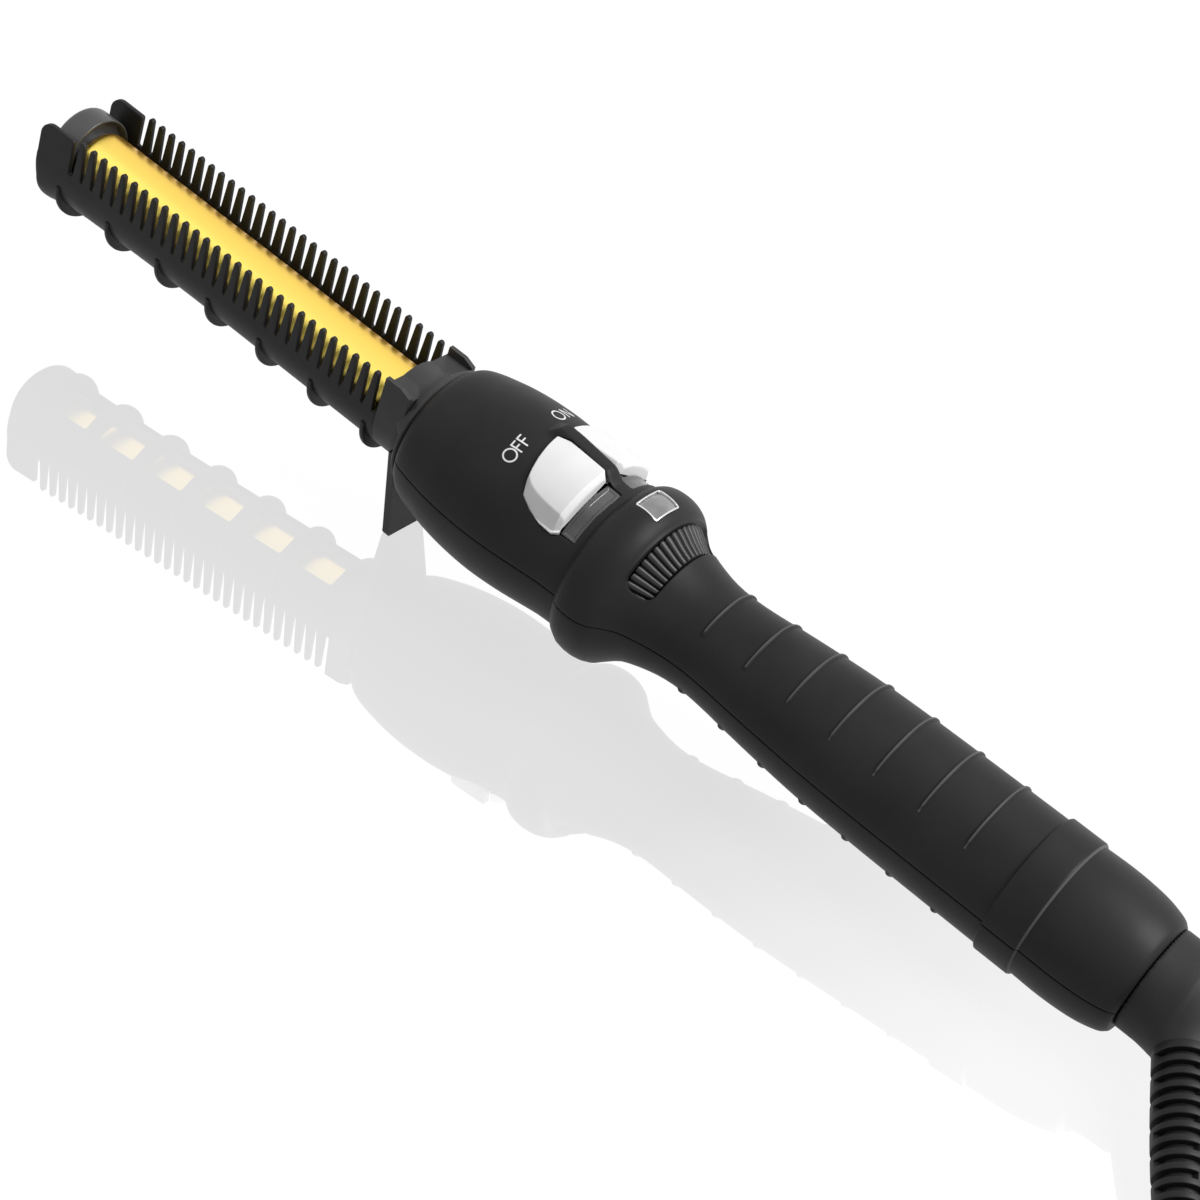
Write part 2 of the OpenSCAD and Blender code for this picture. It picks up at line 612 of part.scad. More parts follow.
function boot_r(t) = boot_r0 + (boot_r1 - boot_r0) * (t / boot_length)^3;
module strain_relief() {
    color([0.12, 0.12, 0.13]) toward_cord(elbow_neck + slip) rotate_extrude() difference() {
        polygon(concat([[0, 0]], [for (t = [0:boot_length / 8:boot_length]) [boot_r(t), t]],
                       [[0, boot_length]]));
        for (t = [2:groove_pitch:boot_length - 3]) translate([boot_r(t) - 1.2, t]) square([4, 1.5]);
    }
}

// Cord, coil and plug: they lie on the surface that the tool stands on
coil_mid = [315.5, -42];
coil_r = 36.7;
coil_layers = 2;
layer_turns = 3.708;
leave_angle = 75; // where the cord leaves the coil for the plug
tie_t = 0.5;
coil_z0 = tie_t + slip; // the coil lies on its tie
coil_in = coil_r - (layer_turns + 1) * cord_d / 2;
coil_out = coil_r + (layer_turns + 1) * cord_d / 2;
coil_h = coil_layers * cord_d;
lead_z = coil_z0 + cord_d / 2;
coil_leave = coil_mid + (coil_r + layer_turns * cord_d / 2) * [cos(leave_angle), sin(leave_angle)];
plug_z = 5.3;
plug_distance = 27;
// Point at a distance along the straight lead from the coil to the plug
function plug_line(distance, z) = [coil_leave[0] - distance * sin(leave_angle),
                                   coil_leave[1] + distance * cos(leave_angle), z];
plug_at = plug_line(plug_distance, plug_z);
boot_end = standing(elbow + (elbow_neck + boot_length + 2 * slip) * cord_way);
cord_out = (boot_end - standing(elbow)) / norm(boot_end - standing(elbow));
cord_lead = [boot_end, boot_end + 2.5 * cord_out, boot_end + 5 * cord_out, [267.2, -62.6, 4],
             [274.2, -69.4, lead_z], [281.4, -76.1, lead_z]];
plug_lead = [plug_line(0, lead_z + cord_d), plug_line(7, 9.3), plug_line(14, 7.7),
             plug_line(21, 5.8), plug_line(24, 5.4), plug_line(plug_distance - 0.1, plug_z)];
module cord_tube() {
    color([0.1, 0.1, 0.11]) difference() {
        union() {
            sweep(smooth_path(cord_lead, 2), cord_d / 2, 10);
            sweep(smooth_path(plug_lead, 2), cord_d / 2, 10);
        }
        translate([coil_mid[0], coil_mid[1], -1]) cylinder(h = 30, r = coil_out + slip);
    }
}
module cord_coil() {
    w = coil_out - coil_in;
    c = 2; // corners cut off the section
    color([0.1, 0.1, 0.11]) translate([coil_mid[0], coil_mid[1], coil_z0])
        rotate_extrude() translate([coil_in, 0])
            polygon([[c, 0], [w - c, 0], [w, c], [w, coil_h - c], [w - c, coil_h], [c, coil_h], [0, coil_h - c],
                     [0, c]]);
}
tie_w = 8;
module cord_tie() {
    y0 = coil_mid[1] - coil_out - slip;
    y1 = coil_mid[1] - coil_in + 0.5; // the coil curves away from the tie's inner side
    z1 = coil_z0 + coil_h + slip;
    color([0.2, 0.2, 0.21]) translate([coil_mid[0] - tie_w / 2, 0, 0]) difference() {
        box([0, y0 - tie_t, coil_z0 - slip - tie_t], [tie_w, y1 + tie_t, z1 + tie_t]);
        box([-1, y0, coil_z0 - slip], [tie_w + 1, y1, z1]);
    }
}
module plug_body() {
    color([0.12, 0.12, 0.13]) translate(plug_at) rotate([0, 0, leave_angle]) rotate([-90, 0, 0]) {
        cylinder(h = 12, r1 = cord_d / 2 + 0.8, r2 = 4.6);
        translate([0, 0, 12 - slip]) linear_extrude(27 + slip) {
            square([15, 10.4], center = true);
            for (x = [-7.5, 7.5]) translate([x, 0]) circle(r = 5.2);
        }
    }
}
module plug_blades() {
    color([0.8, 0.8, 0.78]) for (x = [-6.35, 6.35])
        translate(plug_at) rotate([0, 0, leave_angle])
            box([x - 0.75, 39 + slip, -3.2], [x + 0.75, 55, 3.2]);
}

stand() comb_guard();
stand() tip_cap();
stand() collar();
stand() foot();
stand() barrel();
stand() heat_spreader();
stand() heater_plate();
stand() thermistor();
stand() barrel_insulator();
stand() upper_shell();
stand() lower_shell();
stand() control_board();
stand() switch_carrier();
stand() tact_switches();
stand() indicator_leds();
stand() board_screws();
stand() potentiometer();
stand() button(-1);  // off_button
stand() button(1);  // on_button
stand() button_spring(-1);  // off_spring
stand() button_spring(1);  // on_spring
stand() window_piece(-1);  // off_window
stand() window_piece(1);  // on_window
stand() power_lens();
stand() lens_bezel();
stand() dial_wheel();
stand() dial_shaft();
stand() heater_leads();
stand() supply_leads();
stand() brush_holder();
stand() brush_blades();
stand() swivel_elbow();
stand() slip_rings();
stand() strain_relief();
cord_tube();
cord_coil();
cord_tie();
plug_body();
plug_blades();
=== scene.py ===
import json
import math

import bpy
import bmesh
import numpy as np
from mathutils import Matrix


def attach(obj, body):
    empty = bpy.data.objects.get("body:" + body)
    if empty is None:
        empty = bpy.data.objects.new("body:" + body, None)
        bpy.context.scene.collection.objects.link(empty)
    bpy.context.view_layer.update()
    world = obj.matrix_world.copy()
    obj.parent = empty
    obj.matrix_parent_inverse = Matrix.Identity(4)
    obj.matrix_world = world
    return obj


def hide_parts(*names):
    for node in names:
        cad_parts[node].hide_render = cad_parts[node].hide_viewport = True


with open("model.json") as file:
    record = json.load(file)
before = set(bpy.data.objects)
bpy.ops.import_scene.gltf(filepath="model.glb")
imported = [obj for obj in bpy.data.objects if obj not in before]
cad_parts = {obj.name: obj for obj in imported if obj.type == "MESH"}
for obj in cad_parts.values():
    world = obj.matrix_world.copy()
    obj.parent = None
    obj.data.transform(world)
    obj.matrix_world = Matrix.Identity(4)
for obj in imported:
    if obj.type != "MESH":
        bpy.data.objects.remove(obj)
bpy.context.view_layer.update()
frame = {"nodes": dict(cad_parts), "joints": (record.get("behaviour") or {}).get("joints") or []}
nodes = frame["nodes"]
print("frame loaded:", len(nodes), "nodes")

# Shapes are worked out in tool millimetres: the tool lies along X, tip at 0, teeth up, its axis on y = z = 0.
# In the frame it stands on its foot and tail, with the foot's resting point at the origin.
rest = {"footX": 131.2, "footDrop": 33.7}
swivelAxis = next(joint["axis"] for joint in frame["joints"] if joint["name"] == "cord_swivel")
tilt = math.atan2(-swivelAxis[2], swivelAxis[0])


def stand(points):
    # moves the foot's resting point to the origin, then turns about Y by the resting slope; gives metres
    x, y, z = points[..., 0] - rest["footX"], points[..., 1], points[..., 2] + rest["footDrop"]
    sine, cosine = math.sin(tilt), math.cos(tilt)
    return np.stack([x * cosine + z * sine, y, z * cosine - x * sine], -1) / 1000


def linked(name, data):
    # a new object of the scene that holds the data
    made = bpy.data.objects.new(name, data)
    bpy.context.scene.collection.objects.link(made)
    return made


# Camera
cameraSet = {"place": (0.31423, -0.45792, 0.42005), "turn": (51.3169, -12.5272, 38.8223), "lens": 82.662,
             "sensor": 36, "clip": (0.01, 20)}
camera = linked("camera", bpy.data.cameras.new("camera"))
camera.location = cameraSet["place"]
camera.rotation_euler = [math.radians(angle) for angle in cameraSet["turn"]]
camera.data.lens, camera.data.sensor_width = cameraSet["lens"], cameraSet["sensor"]
camera.data.clip_start, camera.data.clip_end = cameraSet["clip"]
bpy.context.scene.camera = camera

# Mesh helpers; doubled points are those within mergeGap metres
mergeGap = 2e-6


def fullTurn(sides):
    return np.linspace(0, 2 * np.pi, sides, endpoint=False)


def unit(vectors):
    return vectors / np.linalg.norm(vectors, axis=-1, keepdims=True)


def gridFaces(rows, columns, closeColumns=False):
    # quads between neighbouring points of a rows by columns grid, joined round where asked
    a, b = np.meshgrid(np.arange(rows - 1) * columns, np.arange(columns if closeColumns else columns - 1),
                       indexing="ij")
    b2 = (b + 1) % columns
    return np.stack([a + b, a + columns + b, a + columns + b2, a + b2], -1).reshape(-1, 4)


def ringPart(points):
    # part of a mesh from rows of points in tool millimetres, each row closed to a ring
    return stand(points), gridFaces(*points.shape[:2], closeColumns=True)


def around(x, radius, angle):
    # points at a radius about the tool's axis, the angle counted from straight up
    return np.stack([x + 0 * angle, radius * np.sin(angle), radius * np.cos(angle)], -1)


def meshFrom(name, parts):
    # a part is (points in metres, arrays of faces); doubled points are merged, which closes poles and seams
    points = np.concatenate([np.asarray(part, float).reshape(-1, 3) for part, _ in parts])
    loops, sizes, offset = [], [], 0
    for part, faces in parts:
        for rows in faces if isinstance(faces, list) else [faces]:
            loops.append((rows + offset).ravel())
            sizes.append(np.full(len(rows), rows.shape[1]))
        offset += np.asarray(part).size // 3
    loops, sizes = np.concatenate(loops), np.concatenate(sizes)
    mesh = bpy.data.meshes.new(name)
    mesh.vertices.add(len(points))
    mesh.vertices.foreach_set("co", points.ravel())
    mesh.loops.add(len(loops))
    mesh.loops.foreach_set("vertex_index", loops)
    mesh.polygons.add(len(sizes))
    mesh.polygons.foreach_set("loop_start", np.concatenate([[0], np.cumsum(sizes)[:-1]]))
    mesh.update(calc_edges=True)
    tidy = bmesh.new()
    tidy.from_mesh(mesh)
    bmesh.ops.remove_doubles(tidy, verts=tidy.verts, dist=mergeGap)
    loose = [vertex for vertex in tidy.verts if not vertex.link_faces]
    bmesh.ops.delete(tidy, geom=loose, context="VERTS")
    bmesh.ops.recalc_face_normals(tidy, faces=tidy.faces)
    tidy.to_mesh(mesh)
    tidy.free()
    return mesh


def addPiece(name, mesh, body, finish, stands=(), sharpAngle=38):
    # a piece that rides on a body, takes a finish and stands for CAD nodes
    mesh.polygons.foreach_set("use_smooth", np.ones(len(mesh.polygons), bool))
    mesh.set_sharp_from_angle(angle=math.radians(sharpAngle))
    piece = linked(name, mesh)
    mesh.materials.append(finishes[finish]["material"])
    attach(piece, body)
    if stands:
        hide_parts(*stands)
    return piece


def curveThrough(points, x):
    # Hermite curve through (x, value) points, with each slope taken from the two neighbours
    p = np.asarray(points, float)
    before, after = np.maximum(np.arange(len(p)) - 1, 0), np.minimum(np.arange(len(p)) + 1, len(p) - 1)
    slope = (p[after, 1] - p[before, 1]) / (p[after, 0] - p[before, 0])
    i = np.clip(np.searchsorted(p[:, 0], x, side="right") - 1, 0, len(p) - 2)
    h = p[i + 1, 0] - p[i, 0]
    t = np.clip((x - p[i, 0]) / h, 0, 1)
    return (p[i, 1] * (2 * t**3 - 3 * t**2 + 1) + slope[i] * h * (t**3 - 2 * t**2 + t)
            + p[i + 1, 1] * (3 * t**2 - 2 * t**3) + slope[i + 1] * h * (t**3 - t**2))


def smoothPath(points, steps):
    # Catmull-Rom curve through points in space, with steps points to each stretch
    p = np.asarray(points, float)
    padded = np.concatenate([p[:1], p, p[-1:]])
    a, b, c, d = (padded[k:len(p) - 1 + k, None, :] for k in range(4))
    t = (np.arange(steps) / steps)[None, :, None]
    curve = 0.5 * (2 * b + (c - a) * t + (2 * a - 5 * b + 4 * c - d) * t**2 + (3 * b - a - 3 * c + d) * t**3)
    return np.concatenate([curve.reshape(-1, 3), p[-1:]])


def smoothStep(value, low, high):
    # 0 up to low, 1 from high, and an even S between them
    t = np.clip((value - low) / (high - low), 0, 1)
    return t * t * (3 - 2 * t)


def fromNearest(x, s):
    # distance along X from the nearest of a row of equal shapes
    index = np.clip(np.round((x - s["first"]) / s["pitch"]), 0, s["count"] - 1)
    return x - s["first"] - index * s["pitch"]


def smoothMax(a, b, width):
    # the larger of two values, with the crease between them rounded over width
    close = np.clip(width - np.abs(a - b), 0, None) / width
    return np.maximum(a, b) + width * close**2 / 4


def smoothMin(a, b, width):
    return -smoothMax(-a, -b, width)


def lathe(profile, sides):
    # a profile of (x, radius) points turned about the tool's axis
    x, radius = np.asarray(profile, float).T[:, :, None]
    return ringPart(around(x, radius, fullTurn(sides)))


def roundedProfile(points, steps=4):
    # a profile of (x, radius, round) points; where the round isn't 0, a quadratic curve that starts and ends
    # that far from the corner takes its place
    p, t = np.array(points, float)[:, :2], np.linspace(0, 1, steps)[:, None]
    rows = [p[:1]]
    for k in range(1, len(p) - 1):
        start, end = (p[k] + points[k][2] * unit(p[other] - p[k]) for other in (k - 1, k + 1))
        curve = (1 - t)**2 * start + 2 * t * (1 - t) * p[k] + t**2 * end
        rows.append(curve if points[k][2] else p[k:k + 1])
    return np.concatenate(rows + [p[-1:]])


# Finishes: a small class for shader sums and one method for every other node
class Value:
    # a shader socket in Python arithmetic: every operator adds its Math node
    def __init__(self, finish, socket):
        self.finish, self.socket = finish, socket

    def math(self, operation, *values):
        return self.finish.node("ShaderNodeMath", {"operation": operation}, dict(enumerate(values)))

    def __add__(self, other):
        return self.math("ADD", self, other)

    def __sub__(self, other):
        return self.math("SUBTRACT", self, other)

    def __rsub__(self, other):
        return self.math("SUBTRACT", other, self)

    def __mul__(self, other):
        return self.math("MULTIPLY", self, other)

    def __truediv__(self, other):
        return self.math("DIVIDE", self, other)

    def __rtruediv__(self, other):
        return self.math("DIVIDE", other, self)

    __radd__, __rmul__ = __add__, __mul__


class Finish:
    # the nodes of a material or of the world, with its shader's fixed values given by socket name
    def __init__(self, owner, fixed, shader="Principled BSDF"):
        owner.use_nodes = True
        self.owner, self.tree = owner, owner.node_tree
        self.shader = self.tree.nodes[shader]
        for socket, value in fixed.items():
            self.shader.inputs[socket].default_value = value
        self.place = self.node("ShaderNodeTexCoord", output="Object")

    def node(self, kind, settings=None, inputs=None, output=0):
        made = self.tree.nodes.new(kind)
        for key, value in (settings or {}).items():
            if key == "stops":
                while len(made.color_ramp.elements) < len(value):
                    made.color_ramp.elements.new(0.5)
                for element, (position, colour) in zip(made.color_ramp.elements, value):
                    element.position, element.color = position, colour
            else:
                setattr(made, key, value)
        for key, value in (inputs or {}).items():
            if isinstance(value, Value):
                self.tree.links.new(value.socket, made.inputs[key])
            else:
                made.inputs[key].default_value = value
        return Value(self, made.outputs[output])

    def noise(self, scale, detail=2.0, place=None):
        inputs = {"Vector": place or self.place, "Scale": scale, "Detail": detail}
        return self.node("ShaderNodeTexNoise", None, inputs, "Fac")

    def ramp(self, factor, stops):
        return self.node("ShaderNodeValToRGB", {"stops": stops}, {"Fac": factor}, "Color")

    def feed(self, socket, value):
        self.tree.links.new(value.socket, self.shader.inputs[socket])

    def bump(self, height, distance):
        self.feed("Normal", self.node("ShaderNodeBump", None, {"Height": height, "Distance": distance}))

    def rays(self):
        # masks of the camera's, glossy and transmission rays
        return [self.node("ShaderNodeLightPath", output=f"Is {kind} Ray")
                for kind in ("Camera", "Glossy", "Transmission")]


def shade(level, tint=(1.0, 1.0, 1.0)):
    # linear colour of an 8-bit display level with a tint
    linear = (level / 255 / 12.92) if level < 10 else ((level / 255 + 0.055) / 1.055)**2.4
    return (*(linear * part for part in tint), 1.0)


# Raised arcs on the grip, and painted highlight lines along them and round the band's rear edge
arcSet = {"first": 222.9, "pitch": 13.0, "count": 7, "halfAngle": 52, "round": 0.7, "sunk": 0.2, "ease": 0.9,
          "lineHalf": 0.2, "lineAbove": 9.9, "bandLine": 322.65, "bandHalf": 0.24, "highlightLevel": 80}


def paintedHighlightLines(finish):
    # the mask of the painted highlight lines
    # 1 within half a line's width of a line, else 0, from the distance along and above the tool's axis
    s = arcSet
    x, z = (finish.node("ShaderNodeSeparateXYZ", None, {"Vector": finish.place}, part) for part in "XZ")
    sine, cosine = 1000 * math.sin(tilt), 1000 * math.cos(tilt)
    along = x * cosine - z * sine + (rest["footX"] - s["first"])
    up = x * sine + z * cosine
    nearest = (along / s["pitch"]).math("ROUND", along / s["pitch"])
    off = along.math("ABSOLUTE", along - nearest * s["pitch"])
    arcs = off.math("LESS_THAN", off, s["lineHalf"])
    arcs = arcs * up.math("GREATER_THAN", up, s["lineAbove"] + rest["footDrop"])
    arcs = arcs * along.math("GREATER_THAN", along, -1.0)
    arcs = arcs * along.math("LESS_THAN", along, (s["count"] - 1) * s["pitch"] + 1)
    band = along.math("COMPARE", along, s["bandLine"] - s["first"], s["bandHalf"])
    return arcs.math("MAXIMUM", arcs, band)


noiseSet = {"drift": 60, "rough": 220, "marks": 900}


def mouldedPlastic(name, levels, roughness, grain, specular, slot=None, tint=(1, 1, 1), paintedHighlights=False):
    # colour drifts slowly between two levels; fine grain in bump; roughness varies with larger noise; where
    # asked, painted highlight lines take a lighter level at the ramp's end
    finish = Finish(bpy.data.materials.new(name), {"Specular IOR Level": specular})
    drift = finish.noise(noiseSet["drift"], 3)
    stops = [(0.35, shade(levels[0], tint)), (0.65, shade(levels[1], tint))]
    # painted highlight lines: the colour goes up to a lighter level along the grip's arcs and the band's rear
    # edge
    if paintedHighlights:
        drift = drift + paintedHighlightLines(finish)
        stops += [(0.9, shade(levels[1], tint)), (1.0, shade(arcSet["highlightLevel"], tint))]
    finish.feed("Base Color", finish.ramp(drift, stops))
    (rough, spread), (grainScale, grainDepth) = roughness, grain
    finish.feed("Roughness", finish.noise(noiseSet["rough"]) * spread + (rough - spread / 2))
    finish.bump(finish.noise(grainScale, 3), grainDepth)
    return {"material": finish.owner, "slot": slot or name}


def brushedMetal(name, levels, tint, roughness, stretch, depth, paintedSheenTint=None):
    # metal with fine marks drawn out along one direction, in colour, roughness and bump; where a sheen tint
    # is given, the colour goes over to it as the surface turns away from the eye: a painted sheen
    finish = Finish(bpy.data.materials.new(name), {"Metallic": 1.0})
    drawn = finish.node("ShaderNodeMapping", None, {"Vector": finish.place, "Scale": stretch}, "Vector")
    marks = finish.noise(noiseSet["marks"], 2, drawn)
    dark, light = (shade(level, tint) for level in levels)
    factor, stops = marks, [(0.3, dark), (0.7, light)]
    # painted sheen: the colour turns a deeper amber towards the limb, by the angle to the eye
    if paintedSheenTint:
        facing = finish.node("ShaderNodeLayerWeight", None, {"Blend": 0.5}, "Facing")
        factor, stops = facing + marks * 0.1, [(0.2, light), (0.95, shade(levels[1], paintedSheenTint))]
    finish.feed("Base Color", finish.ramp(factor, stops))
    finish.feed("Roughness", marks * 0.1 + (roughness - 0.05))
    finish.bump(marks, depth)
    return {"material": finish.owner, "slot": name}


def solderedBoard(name):
    # green lacquer with tracks from a wave pattern
    finish = Finish(bpy.data.materials.new(name), {"Roughness": 0.35, "Coat Weight": 0.4})
    waves = {"Vector": finish.place, "Scale": 120, "Distortion": 6.0, "Detail": 1.0}
    tracks = finish.node("ShaderNodeTexWave", {"bands_direction": "Y"}, waves, "Fac")
    greens = [(0.0, (0.005, 0.09, 0.03, 1)), (0.55, (0.006, 0.11, 0.04, 1)), (0.6, (0.02, 0.2, 0.07, 1))]
    finish.feed("Base Color", finish.ramp(tracks, greens))
    finish.bump(tracks, 0.00003)
    return {"material": finish.owner, "slot": name}


# name, two levels, (roughness, its spread), (grain's scale, its depth in metres), specular level and, where
# it isn't the name, the slot; then a tint and whether the colour has painted highlight lines
plastics = {
    "guard": ("guard_plastic", (29, 36), (0.46, 0.12), (1500, 2e-5), 0.2),
    # painted light: the guard's plastic made lighter, standing in for the key lamp's light on the collar's
    # upward faces
    "collar": ("collar_plastic", (58, 68), (0.48, 0.1), (1500, 2e-5), 0.2, "guard_plastic"),
    # painted highlight: the guard's plastic made lighter on the cap, where the key lamp's highlight falls on
    # its top
    "cap": ("cap_plastic", (60, 74), (0.34, 0.08), (1500, 1e-5), 0.5, "guard_plastic"),
    "button": ("button_white", (225, 233), (0.42, 0.12), (3200, 2e-5), 0.5),
    "ink": ("letter_ink", (222, 232), (0.5, 0.1), (1500, 5e-6), 0.3, "button_white"),
    "dial": ("dial_gloss", (16, 24), (0.42, 0.08), (1200, 1e-5), 0.4, "dial_plastic"),
    "cord": ("cord_rubber", (22, 28), (0.5, 0.15), (1800, 2e-5), 0.25),
    "elbow": ("elbow_rubber", (38, 46), (0.54, 0.12), (1800, 2e-5), 0.2, "cord_rubber"),
    "tie": ("tie_plastic", (40, 52), (0.45, 0.1), (900, 3e-5), 0.4),
    "plug": ("plug_plastic", (26, 34), (0.4, 0.1), (1600, 2e-5), 0.45),
    "ceramic": ("heater_ceramic", (214, 226), (0.6, 0.2), (700, 4e-5), 0.4),
    "component": ("component_plastic", (40, 56), (0.45, 0.1), (1000, 2e-5), 0.5),
    "smoke": ("smoke_window", (56, 96), (0.14, 0.06), (500, 1e-5), 0.5, "window_grey"),
    "lens": ("lens_grey", (104, 160), (0.1, 0.05), (400, 2e-5), 0.5, "window_grey"),
    "leadWhite": ("lead_white", (205, 216), (0.5, 0.1), (900, 2e-5), 0.4),
    "leadRed": ("lead_red", (170, 186), (0.5, 0.1), (900, 2e-5), 0.4, None, (1, 0.1, 0.08)),
    "led": ("led_red", (200, 216), (0.2, 0.1), (600, 1e-5), 0.5, None, (1, 0.16, 0.1)),
    # the handle's colour has painted highlight lines on the grip's arcs and round the band's rear edge
    "handle": ("handle_soft", (33, 39), (0.45, 0.1), (2600, 1.2e-5), 0.14, "handle_plastic", (1, 1, 1), True),
}
# name, two levels, tint, roughness, how the marks are drawn out, their depth in metres and the painted
# sheen's tint
metals = {
    # the gold's colour has a painted sheen of deeper amber at the limb
    "gold": ("gold_barrel", (238, 252), (1, 0.78, 0.17), 0.32, (1, 12, 12), 4e-6, (1, 0.55, 0.07)),
    "chrome": ("bezel_chrome", (225, 240), (1, 1, 1), 0.16, (1, 1, 1), 2e-6),
    "steel": ("steel", (190, 210), (1, 1, 1.01), 0.28, (8, 1, 1), 4e-6),
    "nickel": ("blade_nickel", (205, 222), (1, 0.99, 0.96), 0.24, (6, 1, 1), 4e-6),
    "aluminium": ("aluminium", (200, 215), (1, 1, 1.01), 0.4, (1, 8, 8), 1e-5),
    "brass": ("contact_brass", (215, 230), (1, 0.78, 0.4), 0.3, (6, 1, 1), 4e-6),
}
finishes = {key: mouldedPlastic(*values) for key, values in plastics.items()}
finishes |= {key: brushedMetal(*values) for key, values in metals.items()}
finishes["board"] = solderedBoard("board_green")
nodeFinishes = {
    "steel": ["off_spring", "on_spring", "dial_shaft", "board_screws"], "aluminium": ["heat_spreader"],
    "ceramic": ["heater_plate", "barrel_insulator", "thermistor"], "nickel": ["plug_blades"],
    "brass": ["slip_rings", "brush_blades"], "board": ["control_board"], "led": ["indicator_leds"],
    "component": ["switch_carrier", "tact_switches", "potentiometer", "brush_holder"],
    "leadRed": ["heater_leads"], "leadWhite": ["supply_leads"],
}
for finishName, members in nodeFinishes.items():
    for member in members:
        nodes[member].data.materials.clear()
        nodes[member].data.materials.append(finishes[finishName]["material"])
print("finishes made:", len(finishes))


# Cord
cordSet = {
    "diameter": 6.2, "length": 1800.0, "sides": 16, "elbow": (356.3, 0.8, 0.4), "way": (0.526, -0.838, -0.13),
    "exit": 62.1, "coilMiddle": (315.5, -42.0), "coilRadius": 36.7, "layerTurns": 3.708, "climb": 1 / 6,
    "lowZ": 0.55, "startAngle": math.radians(225.1), "leaveAngle": math.radians(75),
    "lead": [(267.2, -62.6, 4.0), (274.2, -69.4, 3.65)],
    "plugLead": [(7, 9.3), (14, 7.7), (21, 5.8), (24, 5.4)], "plugDistance": 27.0, "plugZ": 5.3,
}
cordWay = unit(np.array(cordSet["way"]))
elbowMiddle = np.array(cordSet["elbow"])


def plugLine(distance, z):
    # point of the straight lead that leaves the coil towards the plug
    s = cordSet
    outer, angle = s["coilRadius"] + s["layerTurns"] * s["diameter"] / 2, s["leaveAngle"]
    return np.array([s["coilMiddle"][0] + outer * math.cos(angle) - distance * math.sin(angle),
                     s["coilMiddle"][1] + outer * math.sin(angle) + distance * math.cos(angle), z])


def cordRoute():
    # millimetres: from the strain relief along the surface, a spiral layer inwards, a climb of one diameter
    # over a sixth of a turn, a spiral layer outwards on top of it, and down to the plug
    s, d = cordSet, cordSet["diameter"]
    start = stand(elbowMiddle + s["exit"] * cordWay) * 1000
    out = stand(elbowMiddle + (s["exit"] + 1) * cordWay) * 1000 - start
    lead = np.array([start, start + 2.5 * out, start + 5 * out, *s["lead"]])
    lowZ, half = s["lowZ"] + d / 2, s["layerTurns"] * d / 2
    turnsAt = np.cumsum([0, s["layerTurns"], s["climb"], s["layerTurns"]])
    turns = np.linspace(0, turnsAt[-1], int(30 * turnsAt[-1]))
    radius = np.interp(turns, turnsAt, s["coilRadius"] + np.array([half, -half, -half, half]))
    height = np.interp(turns, turnsAt, [lowZ, lowZ, lowZ + d, lowZ + d])
    angle, middle = s["startAngle"] + 2 * np.pi * turns, s["coilMiddle"]
    coil = np.stack([middle[0] + radius * np.cos(angle), middle[1] + radius * np.sin(angle), height], -1)
    first = smoothPath(np.concatenate([lead, coil[:2]]), 3)[:-4]
    ends = [plugLine(*place) for place in [*s["plugLead"], (s["plugDistance"], s["plugZ"])]]
    last = smoothPath(np.concatenate([coil[-2:], ends]), 3)[4:]
    return np.concatenate([first, coil, last]), len(first)


def carriedRings(path, radius, sides):
    # circles along a path, square to it, shut to a point at both ends; their sides lie level
    way = unit(np.gradient(path, axis=0))
    side = unit(np.cross(way, [0.02, 0.01, 1.0]))
    turn = fullTurn(sides)[:, None]
    rings = path[:, None] + radius * np.cos(turn) * side[:, None]
    rings = rings + radius * np.sin(turn) * np.cross(side, way)[:, None]
    return np.concatenate([path[:1, None] + 0 * rings[:1], rings, path[-1:, None] + 0 * rings[-1:]])


route, leadCount = cordRoute()
routeLength = np.linalg.norm(np.diff(route, axis=0), axis=1).sum()
print("cord route:", round(routeLength, 1), "mm,", len(route), "points,", leadCount, "before the coil")
rings = carriedRings(route, cordSet["diameter"] / 2, cordSet["sides"])
cordMesh = meshFrom("mains_cord", [(rings / 1000, gridFaces(*rings.shape[:2], closeColumns=True))])
cord = addPiece("mains_cord", cordMesh, "swivel", "cord", ["cord_tube", "cord_coil"])

plugSet = {"length": 39.0, "neck": 4.05, "halfWidth": 12.7, "halfHeight": 5.2, "shoulder": (9.0, 16.0),
           "round": 1.2, "power": 2.6, "grooves": (20, 24, 28), "grooveDepth": 0.45, "grooveWidth": 0.7}


def signedPower(value, power):
    return np.sign(value) * np.abs(value)**power


